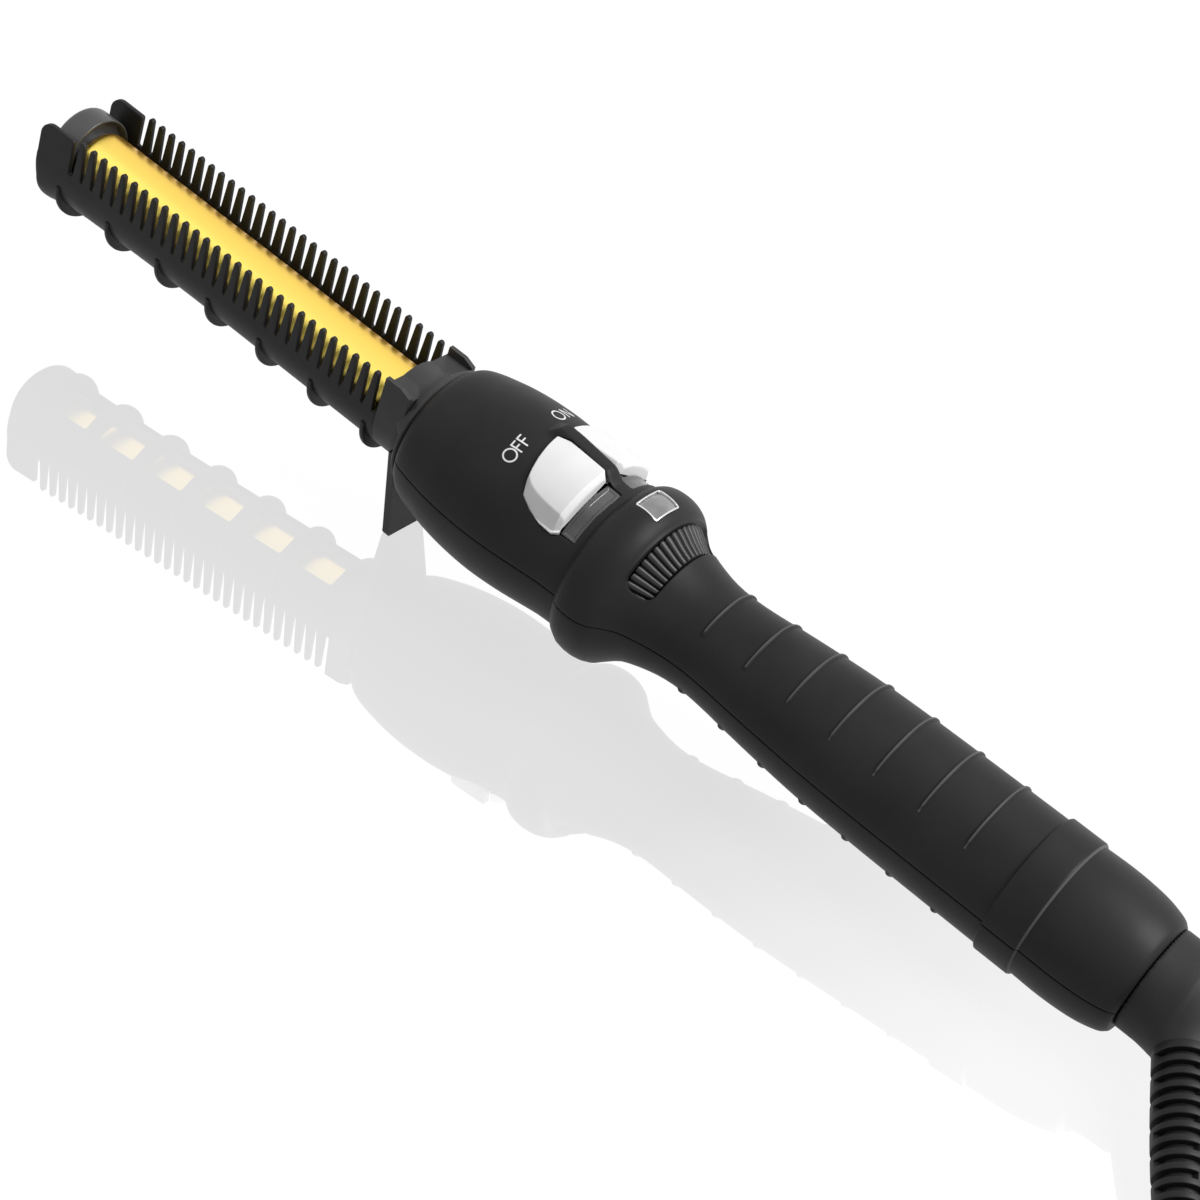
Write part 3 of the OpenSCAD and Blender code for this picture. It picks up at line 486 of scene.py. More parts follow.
def plugMesh():
    # a section that grows along Y from a circle to a wide rounded block; each ring is a superellipse whose
    # power rises with it, three finger grooves are sunk into the block, and the end face is rounded
    s = plugSet
    flatTo = s["length"] - s["round"]
    y = np.concatenate([[0.05, 0.05], np.linspace(0.1, flatTo, 70),
                        flatTo + s["round"] * np.sin(np.radians([20, 45, 70, 90])), [s["length"]]])
    grow = smoothStep(y, *s["shoulder"])
    width = s["neck"] + 0.5 * y / s["length"] + (s["halfWidth"] - s["neck"] - 0.5) * grow
    height = s["neck"] + (s["halfHeight"] - s["neck"]) * grow
    end = np.sqrt(np.clip(1 - ((y - flatTo) / s["round"]).clip(0)**2, 0, 1)) * s["round"] - s["round"]
    grooves = s["grooveDepth"] * sum(np.exp(-((y - middle) / s["grooveWidth"])**2) for middle in s["grooves"])
    width, height = width + end - grooves * 0.6, height + end - grooves
    width[0] = height[0] = width[-1] = height[-1] = 0
    turn = fullTurn(72)
    power = (2 / (2 + s["power"] * grow))[:, None]
    across = signedPower(np.cos(turn), power) * width[:, None]
    up = signedPower(np.sin(turn), power) * height[:, None]
    sine, cosine = math.sin(cordSet["leaveAngle"]), math.cos(cordSet["leaveAngle"])
    along = y[:, None] + 0 * across
    points = np.stack([across * cosine - along * sine, across * sine + along * cosine, up], -1)
    points += plugLine(cordSet["plugDistance"], cordSet["plugZ"])
    return meshFrom("plug", [(points / 1000, gridFaces(*points.shape[:2], closeColumns=True))])


plug = addPiece("plug_moulding", plugMesh(), "swivel", "plug", ["plug_body"])


# A CAD shape with rounded edges: a merged copy of a node's mesh, its flat faces joined, and a bevel
def softenedCopy(name, node, body, finish, width):
    mesh = nodes[node].data.copy()
    mesh.materials.clear()
    tidy = bmesh.new()
    tidy.from_mesh(mesh)
    bmesh.ops.remove_doubles(tidy, verts=tidy.verts, dist=mergeGap)
    bmesh.ops.dissolve_limit(tidy, angle_limit=math.radians(1.5), verts=tidy.verts, edges=tidy.edges)
    tidy.to_mesh(mesh)
    tidy.free()
    piece = addPiece(name, mesh, body, finish, [node])
    bevel = piece.modifiers.new("edges", "BEVEL")
    bevel.width, bevel.segments, bevel.limit_method = width / 1000, 2, "ANGLE"
    bevel.angle_limit = math.radians(35)
    bevel.use_clamp_overlap = bevel.harden_normals = True
    return piece


tie = softenedCopy("cord_strap", "cord_tie", "swivel", "tie", 0.2)
print("cord laid")


# Sheets with thickness, holes and rounded rims: shells and comb guard
def outlineDistance(px, py, corners):
    # signed distance to a closed polygon, negative inside
    a = np.asarray(corners, float)
    b = np.roll(a, -1, axis=0)
    p = np.stack([px, py], -1)[..., None, :]
    edge = b - a
    t = np.clip(((p - a) * edge).sum(-1) / (edge**2).sum(-1), 0, 1)
    distance = np.linalg.norm(p - a - t[..., None] * edge, axis=-1).min(-1)
    rise = np.where(edge[:, 1] == 0, 1e-9, edge[:, 1])
    crosses = ((a[:, 1] > p[..., 1]) != (b[:, 1] > p[..., 1])) & (
        p[..., 0] < a[:, 0] + (p[..., 1] - a[:, 1]) * edge[:, 0] / rise)
    return np.where(crosses.sum(-1) % 2 == 1, -distance, distance)


def boxDistance(px, py, halfX, halfY, corner):
    # signed distance to a rectangle with rounded corners about the origin, negative inside
    dx, dy = np.abs(px) - halfX + corner, np.abs(py) - halfY + corner
    return np.hypot(dx.clip(0), dy.clip(0)) + np.minimum(np.maximum(dx, dy), 0) - corner


def spanDistance(px, py, s, halfY, corner, grow=0):
    # the same for a rectangle whose sides across X are s["from"] and s["to"], grown all round
    middle, half = (s["from"] + s["to"]) / 2, (s["to"] - s["from"]) / 2
    return boxDistance(px - middle, py, half + grow, halfY + grow, corner)


def solidSheet(row, column):
    # the material of a sheet without openings
    return 9 + 0 * row


def thickSheet(shape, rows, columns, material, rim):
    # shape(row, column) gives outer points, inner points and the millimetres to one step of row and column;
    # material(row, column) is how far a point lies inside the material. Where a grid line crosses an edge,
    # its nearer point moves onto it along the gradient: step = depth * (du/su^2, dv/sv^2) / |gradient|^2.
    # Cells outside are left out, and each open edge gets a wall rounded at both faces.
    u = np.broadcast_to(rows[:, None] * 1.0, (len(rows), columns.shape[-1])).copy()
    v = np.broadcast_to(columns * 1.0, u.shape).copy()
    quads = gridFaces(*u.shape)
    depth = material(u, v) - rim
    near = np.zeros(u.shape, bool)
    for one, two in ((np.s_[:-1], np.s_[1:]), (np.s_[:, :-1], np.s_[:, 1:])):
        crossing = depth[one] * depth[two] <= 0
        closer = np.abs(depth[one]) < np.abs(depth[two])
        near[one] |= crossing & closer
        near[two] |= crossing & ~closer
    state = np.where(near, 0, np.sign(depth)).ravel()
    step, furthest = 1e-3, 0.7
    for _ in range(4):
        nu, nv = u[near], v[near]
        depth = material(nu, nv) - rim
        perU = (material(nu + step, nv) - rim - depth) / step
        perV = (material(nu, nv + step) - rim - depth) / step
        scaleU, scaleV = shape(nu, nv)[2:]
        size = np.maximum((perU / scaleU)**2 + (perV / scaleV)**2, 0.1)
        u[near] -= np.clip(depth * perU / scaleU**2 / size, -furthest / scaleU, furthest / scaleU)
        v[near] -= np.clip(depth * perV / scaleV**2 / size, -furthest / scaleV, furthest / scaleV)
    outer, inner = (points.reshape(-1, 3) for points in shape(u, v)[:2])
    out = (state[quads] < 0).sum(1)
    whole, one = quads[out == 0], quads[out == 1]
    middle = material(u.ravel()[whole].mean(1), v.ravel()[whole].mean(1)) - rim
    faces = [whole[(state[whole] > 0).any(1) | (middle > 0)]]
    lone = (state[one] < 0).argmax(1)
    others = one[np.arange(len(one))[:, None], (lone[:, None] + [1, 2, 3]) % 4]
    middle = material(u.ravel()[others].mean(1), v.ravel()[others].mean(1)) - rim
    kept = (state[others[:, [0, 2]]] == 0).all(1) & ((state[others[:, 1]] > 0) | (middle > 0.02))
    faces.append(others[kept])
    sides = [(face, k) for face in faces for k in range(face.shape[1])]
    edges = np.concatenate([np.stack([face[:, k], np.roll(face, -1, axis=1)[:, k]], -1) for face, k in sides])
    centres = np.concatenate([outer[face].mean(1) for face, _ in sides])
    key = edges.min(1).astype(np.int64) * u.size + edges.max(1)
    _, where, counts = np.unique(key, return_index=True, return_counts=True)
    border, centres = edges[where[counts == 1]], centres[where[counts == 1]]
    corner = np.unique(border)
    through = inner - outer
    thickness = np.linalg.norm(through, axis=1, keepdims=True)
    inward = through / np.maximum(thickness, 1e-6)
    # the way out of the material is square to each border edge and away from its face
    side = np.cross(outer[border[:, 1]] - outer[border[:, 0]], inward[border[:, 0]])
    side *= -np.sign(((centres - outer[border].mean(1)) * side).sum(1, keepdims=True))
    side /= np.maximum(np.linalg.norm(side, axis=1, keepdims=True), 1e-9)
    away = np.zeros_like(outer)
    np.add.at(away, border[:, 0], side)
    np.add.at(away, border[:, 1], side)
    away /= np.maximum(np.linalg.norm(away, axis=1, keepdims=True), 1e-9)
    number = np.full(u.size, -1)
    number[corner] = np.arange(len(corner))
    tops = [(rim * math.sin(a), rim * (1 - math.cos(a))) for a in np.radians([0, 30, 60, 90])]
    use = np.minimum(1, thickness / (2.5 * rim))
    outer1, inner1, away1, inward1 = (points[corner] for points in (outer, inner, away, use * inward))
    ringPoints = [outer1 + far * away1 + sink * inward1 for far, sink in tops]
    ringPoints += [inner1 + far * away1 - sink * inward1 for far, sink in tops[::-1]]
    a, b, count = number[border[:, 0]], number[border[:, 1]], len(corner)
    walls = np.concatenate([np.stack([b, a, a + count, b + count], -1) + k * count
                            for k in range(len(ringPoints) - 1)])
    return [(stand(outer), faces), (stand(inner), [face[:, ::-1] for face in faces]),
            (stand(np.concatenate(ringPoints)), walls)]


# Handle shells
shellSet = {
    "house": [(133.9, 16.5), (134.6, 17.7), (136, 18.8), (139.1, 19.9), (142.5, 20.7), (147, 21.6),
              (153, 22.35), (160, 22.7), (165, 22.6), (171, 22.15), (177, 21.4), (183, 20.65), (189.1, 20.4)],
    "ring": [(189.1, 21), (189.9, 22), (191.5, 22.95), (194.3, 23.4), (197.3, 23.15), (199.8, 22.2),
             (201.65, 20.8)],
    "grip": [(201.65, 20.6), (203.5, 19), (205.4, 17.55), (207.8, 16.5), (212.8, 15), (217.5, 14.05),
             (223.5, 13.7), (230, 14.05), (238, 14.85), (248, 15.7), (260, 16.5), (275, 16.95), (292, 17.15),
             (313, 17.3)],
    "tail": [(322.9, 17.45), (329.7, 17.6), (335.2, 17.4), (340, 16.9), (343.4, 16.15), (345.8, 15.3),
             (347.1, 14.2)],
    "bandRadius": 18.2, "wall": 2.2, "frontBore": 14.05, "tailBore": 10.0, "frontWall": 137,
    "tailWall": 342.3, "innerTo": 346, "partZ": -0.8, "partGap": 0.34, "rim": 0.13, "cell": 0.5,
    "bevel": (0.8, 0.45), "bandEdge": (0.3, 0.25), "fineAngle": 72, "pull": (0.5, 2.5),
    "arcRows": [-0.9, -0.67, -0.5, -0.3, -0.1, 0.1, 0.3, 0.5, 0.67, 0.9],
    "stepRows": [-0.9, -0.78, -0.4, -0.04, 0.04, 0.25, 0.8],
}
dividerSet = {"halfWidth": 1.3, "slope": 2.3, "rise": 2.3, "from": 162.6, "full": 166.0, "fullTo": 180.6,
              "to": 184.5}
buttonSet = {
    "middle": 174.35, "angle": math.radians(31), "gap": 0.2, "long": 16.1, "wide": 20.4, "corner": 0.35,
    "corners": [(-8.1, 9.7), (-4.9, 10.7), (6.4, 10.0), (7.9, 8.5), (8.1, -8.5), (6.8, -9.45), (3.1, -9.35),
                (-0.7, -8.4), (-4.1, -6.8), (-5.3, -3.9), (-6.1, -1.2), (-7.0, 2.2), (-7.8, 6.6)],
}
windowSet = {"from": 182.6, "to": 187.0, "angles": (5.5, 54.5), "arcRadius": 20.5, "corner": 0.5,
             "sunk": 0.45, "rim": 0.2, "dish": 0.35, "dishFrom": (0.75, 1.1), "inner": 17.4, "grid": (22, 90)}
lensSet = {"from": 192.5, "to": 198.4, "halfWidth": 4.2, "bezel": 0.45, "corner": 0.7}
slotSet = {"from": 201.85, "to": 209.1, "halfAngle": 57, "corner": 2.9, "arcRadius": 17.5}


def shellRadius(x):
    # the handle's outline: house, ring, grip, band and tail one after the other
    s = shellSet
    ringX, neckX, bandX, tailX = s["ring"][0][0], s["grip"][0][0], s["grip"][-1][0], s["tail"][0][0]
    bandHalf = (tailX - bandX) / 2
    (width, fall), (edgeWidth, edgeFall) = s["bevel"], s["bandEdge"]
    off = np.abs(x - bandX - bandHalf)
    band = s["bandRadius"] - edgeFall * smoothStep(off, bandHalf - edgeWidth, bandHalf)
    band = band - fall * np.clip((x - tailX) / width + 1, 0, 1)
    house, ring, grip, tail = (curveThrough(s[part], x) for part in ("house", "ring", "grip", "tail"))
    return np.select([x < ringX, x < neckX, x < bandX, x <= tailX], [house, ring, grip, band], tail)


def buttonDistance(u, v, grow):
    # signed distance to a button's outline with rounded corners, grown all round
    s = buttonSet
    inset = grow - s["corner"]
    corners = np.array(s["corners"]) * (1 + 2 * inset / np.array([s["long"], s["wide"]]))
    return outlineDistance(u, v, corners) - s["corner"]


def surfaceRadius(x, theta, divided=True):
    # the outline with the grip's arcs and, on the upper half, the divider between the buttons standing proud
    s, divider = arcSet, dividerSet
    radius = shellRadius(x)
    arc = np.sqrt(np.clip(s["round"]**2 - fromNearest(x, s)**2, 0, None)) - s["sunk"]
    ends = smoothStep((math.radians(s["halfAngle"]) - np.abs(theta)) * radius, 0, s["ease"])
    radius = radius + arc.clip(0) * ends
    if not divided:
        return radius
    ramp = smoothStep(x, divider["from"], divider["full"])
    ramp = ramp * (1 - smoothStep(x, divider["fullTo"], divider["to"]))
    across = np.abs(radius * np.sin(theta))
    across = 1 - smoothStep(across, divider["halfWidth"], divider["halfWidth"] + divider["slope"])
    return radius + divider["rise"] * ramp * across * (np.abs(theta) < 1)


def openingDistance(x, theta):
    # how far a point of the upper shell lies from the nearest opening, in mm
    b, w, slot, lens, far = buttonSet, windowSet, slotSet, lensSet, 9
    radius = surfaceRadius(x, theta)
    nearest = spanDistance(x, radius * np.sin(theta), lens, lens["halfWidth"], lens["corner"], lens["bezel"])
    slotHalf = slot["arcRadius"] * math.radians(slot["halfAngle"])
    nearest = np.minimum(nearest, spanDistance(x, slot["arcRadius"] * theta, slot, slotHalf, slot["corner"]))
    middle, half = math.radians(sum(w["angles"]) / 2), math.radians(w["angles"][1] - w["angles"][0]) / 2
    for side in (-1, 1):
        inward = radius * np.sin(b["angle"] - side * theta)
        facing = np.cos(b["angle"] - side * theta) > 0.2
        gap = np.where(facing, buttonDistance(x - b["middle"], inward, b["gap"]), far)
        across = w["arcRadius"] * (side * theta - middle)
        glass = spanDistance(x, across, w, w["arcRadius"] * half, w["corner"])
        nearest = np.minimum(np.minimum(nearest, gap), glass)
    return nearest


def shellRows(fine):
    # stations along the axis: fine over the controls, and close together at every arc and step
    s, arcs = shellSet, arcSet
    x = np.concatenate([np.linspace(134, 139, 9), np.arange(140, 160, 1.2),
                        np.arange(160, 213, s["cell"] if fine else 2.0),
                        np.arange(213.5, 338, 2.2), np.linspace(338, 347, 26)])
    closer = [(arcs["first"] + k * arcs["pitch"], 1.1, s["arcRows"]) for k in range(arcs["count"])]
    closer += [(step, 1.0, s["stepRows"]) for step, _ in (s["ring"][0], s["grip"][-1], s["tail"][0])]
    for step, clear, rows in closer:
        x = np.concatenate([x[np.abs(x - step) > clear], step + np.array(rows)])
    return np.sort(x)


def shellMesh(name, side, fine):
    s, b = shellSet, buttonSet
    x = shellRows(fine)
    # rows are numbered so that the bores at both ends can follow the outer face round; a row holds the outer
    # face's x and radius and the inner face's x and radius
    start, end = s["frontWall"], s["tailWall"]
    front = [(start, s["frontBore"], start, 14.6), (134.1, s["frontBore"], start, 15),
             (133.9, s["frontBore"] + 0.2, start, 15.3), (133.9, 16.3, start, 16.2)]
    back = [(347.1, 13.9, end, 13.6), (347.1, s["tailBore"] + 0.25, end, 12.5),
            (346.85, s["tailBore"], end, 11.5), (end, s["tailBore"], end, 10.4)]
    innerRadius = shellRadius(np.clip(x, start, s["innerTo"])) - s["wall"]
    along = [x, shellRadius(x), np.clip(x, start, end), innerRadius]
    faceRows = np.concatenate([np.transpose(front), along, np.transpose(back)], 1)
    rowX, rowRadius = faceRows[:2]
    first, last = len(front), len(front) + len(x)
    plane = s["partZ"] if side > 0 else s["partZ"] - s["partGap"]
    fineAngle = math.radians(s["fineAngle"])
    edgeAngle = np.arccos(side * (plane + side * s["rim"]) / rowRadius)
    middle = np.arange(-fineAngle, fineAngle + 1e-6, s["cell"] / 22 if fine else math.radians(4))
    middle = np.broadcast_to(middle, (len(rowX), len(middle)))
    outside = fineAngle + (edgeAngle[:, None] - fineAngle) * np.linspace(0, 1, 9)[1:]
    columns = np.concatenate([-outside[:, ::-1], middle, outside], 1)
    rowPlace = np.arange(len(rowX)) * 1.0

    def place(row, theta):
        # outer and inner points for a row number and an angle; moved points have rows between whole numbers
        px, pr, qx, qr = (np.interp(row, rowPlace, values) for values in faceRows)
        onShell = (row >= first) & (row <= last - 1)
        pr = np.where(onShell, surfaceRadius(px, theta, side > 0), pr)
        outer, inner = (around(*face, theta) * (1, 1, side) for face in ((px, pr), (qx, qr)))
        if side > 0:
            for hand in (-1, 1):
                inward = pr * np.sin(b["angle"] - hand * theta)
                gap = buttonDistance(px - b["middle"], inward, b["gap"])
                pull = (1 - smoothStep(gap, *s["pull"])) * (hand * theta > 0)
                down = np.array([0, -hand * math.sin(b["angle"]), -math.cos(b["angle"])])
                inner = inner + pull[..., None] * (outer + s["wall"] * down - inner)
            # neither button's wall crosses the middle
            inner[..., 1] = np.sign(theta) * (np.sign(theta) * inner[..., 1]).clip(0)
        perRow = np.abs(np.interp(row + 0.5, rowPlace, rowX) - np.interp(row - 0.5, rowPlace, rowX))
        return outer, inner, np.maximum(perRow, 0.05), pr

    def material(row, theta):
        return openingDistance(np.interp(row, rowPlace, rowX), theta)

    return meshFrom(name, thickSheet(place, rowPlace, columns, material if fine else solidSheet, s["rim"]))


for half, side, fine in (("upper", 1, True), ("lower", -1, False)):
    mesh = shellMesh(half + "_casing", side, fine)
    addPiece(half + "_casing", mesh, "handle", "handle", [half + "_shell"])
    print(half, "casing:", len(mesh.polygons), "faces")


# Comb guard: a half pipe with two rows of teeth, worked out over x and the arc length q from the bottom
guardSet = {
    "radius": 12.3, "wall": 1.3, "from": 1.1, "to": 122.1, "rim": 0.24, "nose": 1.4, "settle": 4.5,
    "nearGapZ": 1.7, "farGapZ": 2.9, "deeper": 2.0, "deeperTo": 70.0, "extraNose": 1.6, "noseSpan": (3, 11),
    "noseMost": 0.95, "noseSides": (0.02, 0.4), "wider": 0.5, "blends": (0.7, 0.5),
    "teeth": {"first": 15.5, "pitch": 3.7, "count": 29, "base": 1.52, "tip": 0.8, "top": 12.8},
    "ear": {"to": 12.5, "top": 11.6, "corner": 4.0},
    "windows": {"first": 19.0, "pitch": 18.2, "count": 6, "half": 6.7, "halfAngle": 36, "corner": 0.8},
    "ribs": {"first": 9.9, "pitch": 18.2, "count": 7, "rise": 3.0, "inner": 11.8, "halfAngle": 76,
             "section": [(-0.65, 9.0), (-0.65, 0.32), (-0.56, 0.09), (-0.33, 0), (0.33, 0), (0.56, 0.09),
                         (0.65, 0.32), (0.65, 9.0)]},
}


def guardStretch(x, points):
    # towards the tip the guard grows deeper below its axis and a little wider
    s = guardSet
    flare = np.clip(1 - x / s["deeperTo"], 0, 1)**2
    y = points[..., 1] * (1 + s["wider"] * flare / s["radius"])
    down = smoothStep(-points[..., 2], 0, s["settle"])
    z = points[..., 2] - down * (s["deeper"] * flare + s["extraNose"] * (1 - smoothStep(x, *s["noseSpan"])))
    return np.stack([points[..., 0], y, z], -1)


def guardPlace(x, q):
    # a half circle below, going on as straight sides; the nose is pulled in where it is rounded
    s = guardSet
    quarter = s["radius"] * np.pi / 2
    psi = np.clip(q / s["radius"], -np.pi / 2, np.pi / 2)
    above = np.clip(np.abs(q) - quarter, 0, None)
    back = np.clip(s["from"] + s["nose"] - x, 0, s["nose"])
    drop = np.minimum(s["nose"] - np.sqrt(s["nose"]**2 - back**2), s["noseMost"])
    drop = drop * smoothStep(np.cos(psi), *s["noseSides"])
    outer, inner = (guardStretch(x, np.stack([x, r * np.sin(psi), above - r * np.cos(psi)], -1))
                    for r in (s["radius"] - drop, s["radius"] - s["wall"] + 0 * x))
    return outer, inner, 1.0, 1.0


def guardMaterial(x, q):
    # how far a point lies inside the strip, a tooth or an ear, and outside the windows
    s, teeth, ear, windows = guardSet, guardSet["teeth"], guardSet["ear"], guardSet["windows"]
    z = np.abs(q) - s["radius"] * np.pi / 2
    gapZ = np.where(q > 0, s["farGapZ"], s["nearGapZ"])
    strip = np.minimum(gapZ - z, np.minimum(x - s["from"], s["to"] - x))
    off = np.abs(fromNearest(x, teeth))
    roundZ = teeth["top"] - teeth["tip"]
    half = teeth["base"] + (teeth["tip"] - teeth["base"]) * np.clip(z, 0, roundZ) / roundZ
    tooth = np.where(z < roundZ, half - off, teeth["tip"] - np.hypot(off, z - roundZ))
    cornerX, cornerZ = s["from"] + ear["corner"], ear["top"] - ear["corner"]
    earDepth = np.minimum(np.minimum(x - s["from"], ear["to"] - x), ear["top"] - z)
    earRound = ear["corner"] - np.hypot(cornerX - x, z - cornerZ)
    earDepth = np.where((x < cornerX) & (z > cornerZ), earRound, earDepth)
    solid = smoothMax(smoothMax(strip, tooth, s["blends"][0]), earDepth, s["blends"][1])
    halfWide = s["radius"] * math.radians(windows["halfAngle"])
    hole = boxDistance(fromNearest(x, windows), q, windows["half"], halfWide, windows["corner"])
    return np.minimum(solid, hole)


def guardRib(x):
    # a crescent bar: its outer edge is a circle set below the guard's, its section a block with rounded
    # corners, as (across, below the outer edge) points
    s, ribs = guardSet, guardSet["ribs"]
    psi = np.radians(np.linspace(-ribs["halfAngle"], ribs["halfAngle"], 61))[:, None]
    outer = ribs["rise"] * np.cos(psi) + np.sqrt(s["radius"]**2 - (ribs["rise"] * np.sin(psi))**2)
    across, drop = np.transpose(ribs["section"])
    radius = np.maximum(outer - drop, ribs["inner"])
    points = np.stack([x + across + 0 * radius, radius * np.sin(psi), -radius * np.cos(psi)], -1)
    middle = points.mean(1, keepdims=True)
    points = np.concatenate([middle[:1] + 0 * points[:1], points, middle[-1:] + 0 * points[-1:]])
    return ringPart(guardStretch(x, points))


def guardMesh():
    s, teeth, ribs = guardSet, guardSet["teeth"], guardSet["ribs"]
    x = np.arange(-0.3, s["to"] + 0.6, teeth["pitch"] / 12)
    quarter = s["radius"] * np.pi / 2
    side = np.concatenate([np.arange(quarter + start, quarter + end, step)
                           for start, end, step in ((0, 1.6, 0.2), (1.6, 11.5, 0.5), (11.5, 13.4, 0.2))])
    low = np.linspace(-quarter, quarter, 66)[1:-1]
    sheet = thickSheet(guardPlace, x, np.concatenate([-side[::-1], low, side]), guardMaterial, s["rim"])
    bars = [guardRib(ribs["first"] + k * ribs["pitch"]) for k in range(ribs["count"])]
    return meshFrom("comb_guard", sheet + bars)


guard = addPiece("comb_moulding", guardMesh(), "handle", "guard", ["comb_guard"])
print("comb guard:", len(guard.data.polygons), "faces")


# Front cap and barrel
capSet = {"from": 2.2, "radius": 10.95, "round": 2.2, "spigot": 6.75, "end": 10.0, "spigotEnd": 16.0,
          "lip": 9.6, "cup": 1.6, "taller": 0.1, "sides": 128}
barrelSet = {"radius": 8.8, "wall": 0.8, "from": 10.05, "to": 143.0, "frontHole": 6.8, "round": (2.0, 1.2),
             "sides": 160}


def capMesh():
    # above the axis the cap is a little taller than round; across the axis it fits between the ears
    s = capSet
    cupX = s["end"] - s["cup"]
    profile = roundedProfile([
        (s["from"], 0, 0), (s["from"], s["radius"], s["round"]), (s["end"], s["radius"], 0.35),
        (s["end"], s["radius"] - 0.5, 0.2), (cupX, s["lip"], 0), (cupX, s["spigot"], 0),
        (s["spigotEnd"], s["spigot"], 0.4), (s["spigotEnd"], 0, 0)], 8)
    points, faces = lathe(profile, s["sides"])
    axis = stand(np.stack([profile[:, 0], 0 * profile[:, 0], 0 * profile[:, 0]], -1))
    points[..., 2] += (points[..., 2] - axis[:, None, 2]).clip(0) * s["taller"]
    return meshFrom("front_cap", [(points, faces)])


def barrelMesh():
    # a thin tube with a rounded nose that is turned in to a hole
    s = barrelSet
    turn = np.radians(np.linspace(0, 90, 9))
    inner, (deep, high) = s["radius"] - s["wall"], s["round"]
    nose = np.stack([s["from"] + deep * (1 - np.cos(turn)), s["radius"] - high * (1 - np.sin(turn))], -1)
    tube = [(s["from"], s["frontHole"]), *nose, (s["to"] / 2, s["radius"]), (s["to"], s["radius"]),
            (s["to"], inner), (s["from"] + 2.4, inner), (s["from"] + 1.2, s["frontHole"]),
            (s["from"], s["frontHole"])]
    return meshFrom("gold_tube", [lathe(tube, s["sides"])])


# the front cap's colour is the guard's plastic painted lighter, a painted highlight
addPiece("front_cap", capMesh(), "handle", "cap", ["tip_cap"])
addPiece("gold_tube", barrelMesh(), "handle", "gold", ["barrel"])
# the collar and the foot take the guard's plastic painted lighter, as painted light
softenedCopy("collar_moulding", "collar", "handle", "collar", 0.25)
softenedCopy("stand_foot", "foot", "handle", "collar", 0.3)
print("cap, barrel, collar and foot made")

# Push buttons, in a frame whose third direction points out through the button's middle
buttonTop = {"top": (23.75, 166.3, 0.01), "rear": (23.9, 181.2, -1.2),
             "crease": [(-6.4, -0.9), (-5.2, -3.1), (-2.6, -4.6), (2.0, -5.5), (8.2, -5.9)],
             "fall": (0.5, 0.03), "edge": 0.35, "side": 19.5, "skirt": 15.2, "skirtHalf": (7.15, 6),
             "skirtIn": 0.6, "stem": (2.5, 14.65), "blends": (0.12, 0.25), "sides": 264, "rings": 60}


def buttonHeight(u, v):
    # the turned top made of two cones; beyond a curved crease on the outer side it falls away, more to the
    # rear
    s = buttonTop
    x = buttonSet["middle"] + u
    front, rear = (radius + (x - at) * slope for radius, at, slope in (s["top"], s["rear"]))
    height = np.sqrt(smoothMin(front, rear, s["blends"][0])**2 - v**2)
    past = smoothMax(curveThrough(s["crease"], u) - v, 0 * v, s["blends"][1])
    return height - past * (s["fall"][0] + s["fall"][1] * (u - s["crease"][0][0]))


def reach(distance, direction, far, steps=26):
    # how far along each direction a distance function changes sign, by halving
    low, high = np.zeros(direction.shape[:-1]), np.full(direction.shape[:-1], float(far))
    for _ in range(steps):
        middle = (low + high) / 2
        inside = distance(direction * middle[..., None]) < 0
        low, high = np.where(inside, middle, low), np.where(inside, high, middle)
    return (low + high) / 2


def skirtDistance(p):
    # the button's outline drawn in, and cut off square on all four sides
    halfU, halfV = buttonTop["skirtHalf"]
    square = np.maximum(np.abs(p[..., 0]) - halfU, np.abs(p[..., 1]) - halfV)
    return np.maximum(buttonDistance(p[..., 0], p[..., 1], -buttonTop["skirtIn"]), square)


def buttonMesh(name, side):
    # rings from the middle of the top to the outline, down the side, in to the skirt and down to the stem
    s, b = buttonTop, buttonSet
    angle = fullTurn(s["sides"])
    way = np.stack([np.cos(angle), np.sin(angle)], -1)
    outline = reach(lambda p: buttonDistance(p[..., 0], p[..., 1], 0.0), way, 16)
    skirt, stem = reach(skirtDistance, way, 16), np.full(len(angle), s["stem"][0])
    turn = np.radians([15, 35, 55, 75, 90])[:, None]
    reaches = np.concatenate([np.linspace(0, 1, s["rings"])[:, None] * (outline - s["edge"]),
                              outline - s["edge"] * (1 - np.sin(turn))])
    uv = reaches[..., None] * way
    top = buttonHeight(uv[..., 0], uv[..., 1])
    top[s["rings"]:] -= s["edge"] * (1 - np.cos(turn))
    lower = [(outline, s["side"]), (skirt, s["side"]), (skirt, s["skirt"]), (stem, s["skirt"]),
             (stem, s["stem"][1]), (0 * stem, s["stem"][1])]
    uv = np.concatenate([uv, np.stack([r for r, _ in lower])[..., None] * way])
    height = np.concatenate([top, np.stack([z + 0 * stem for _, z in lower])])
    sine, cosine = math.sin(b["angle"]), math.cos(b["angle"])
    u, v = uv[..., 0], uv[..., 1]
    points = np.stack([b["middle"] + u, side * (height * sine - v * cosine), height * cosine + v * sine], -1)
    return meshFrom(name, [ringPart(points)])


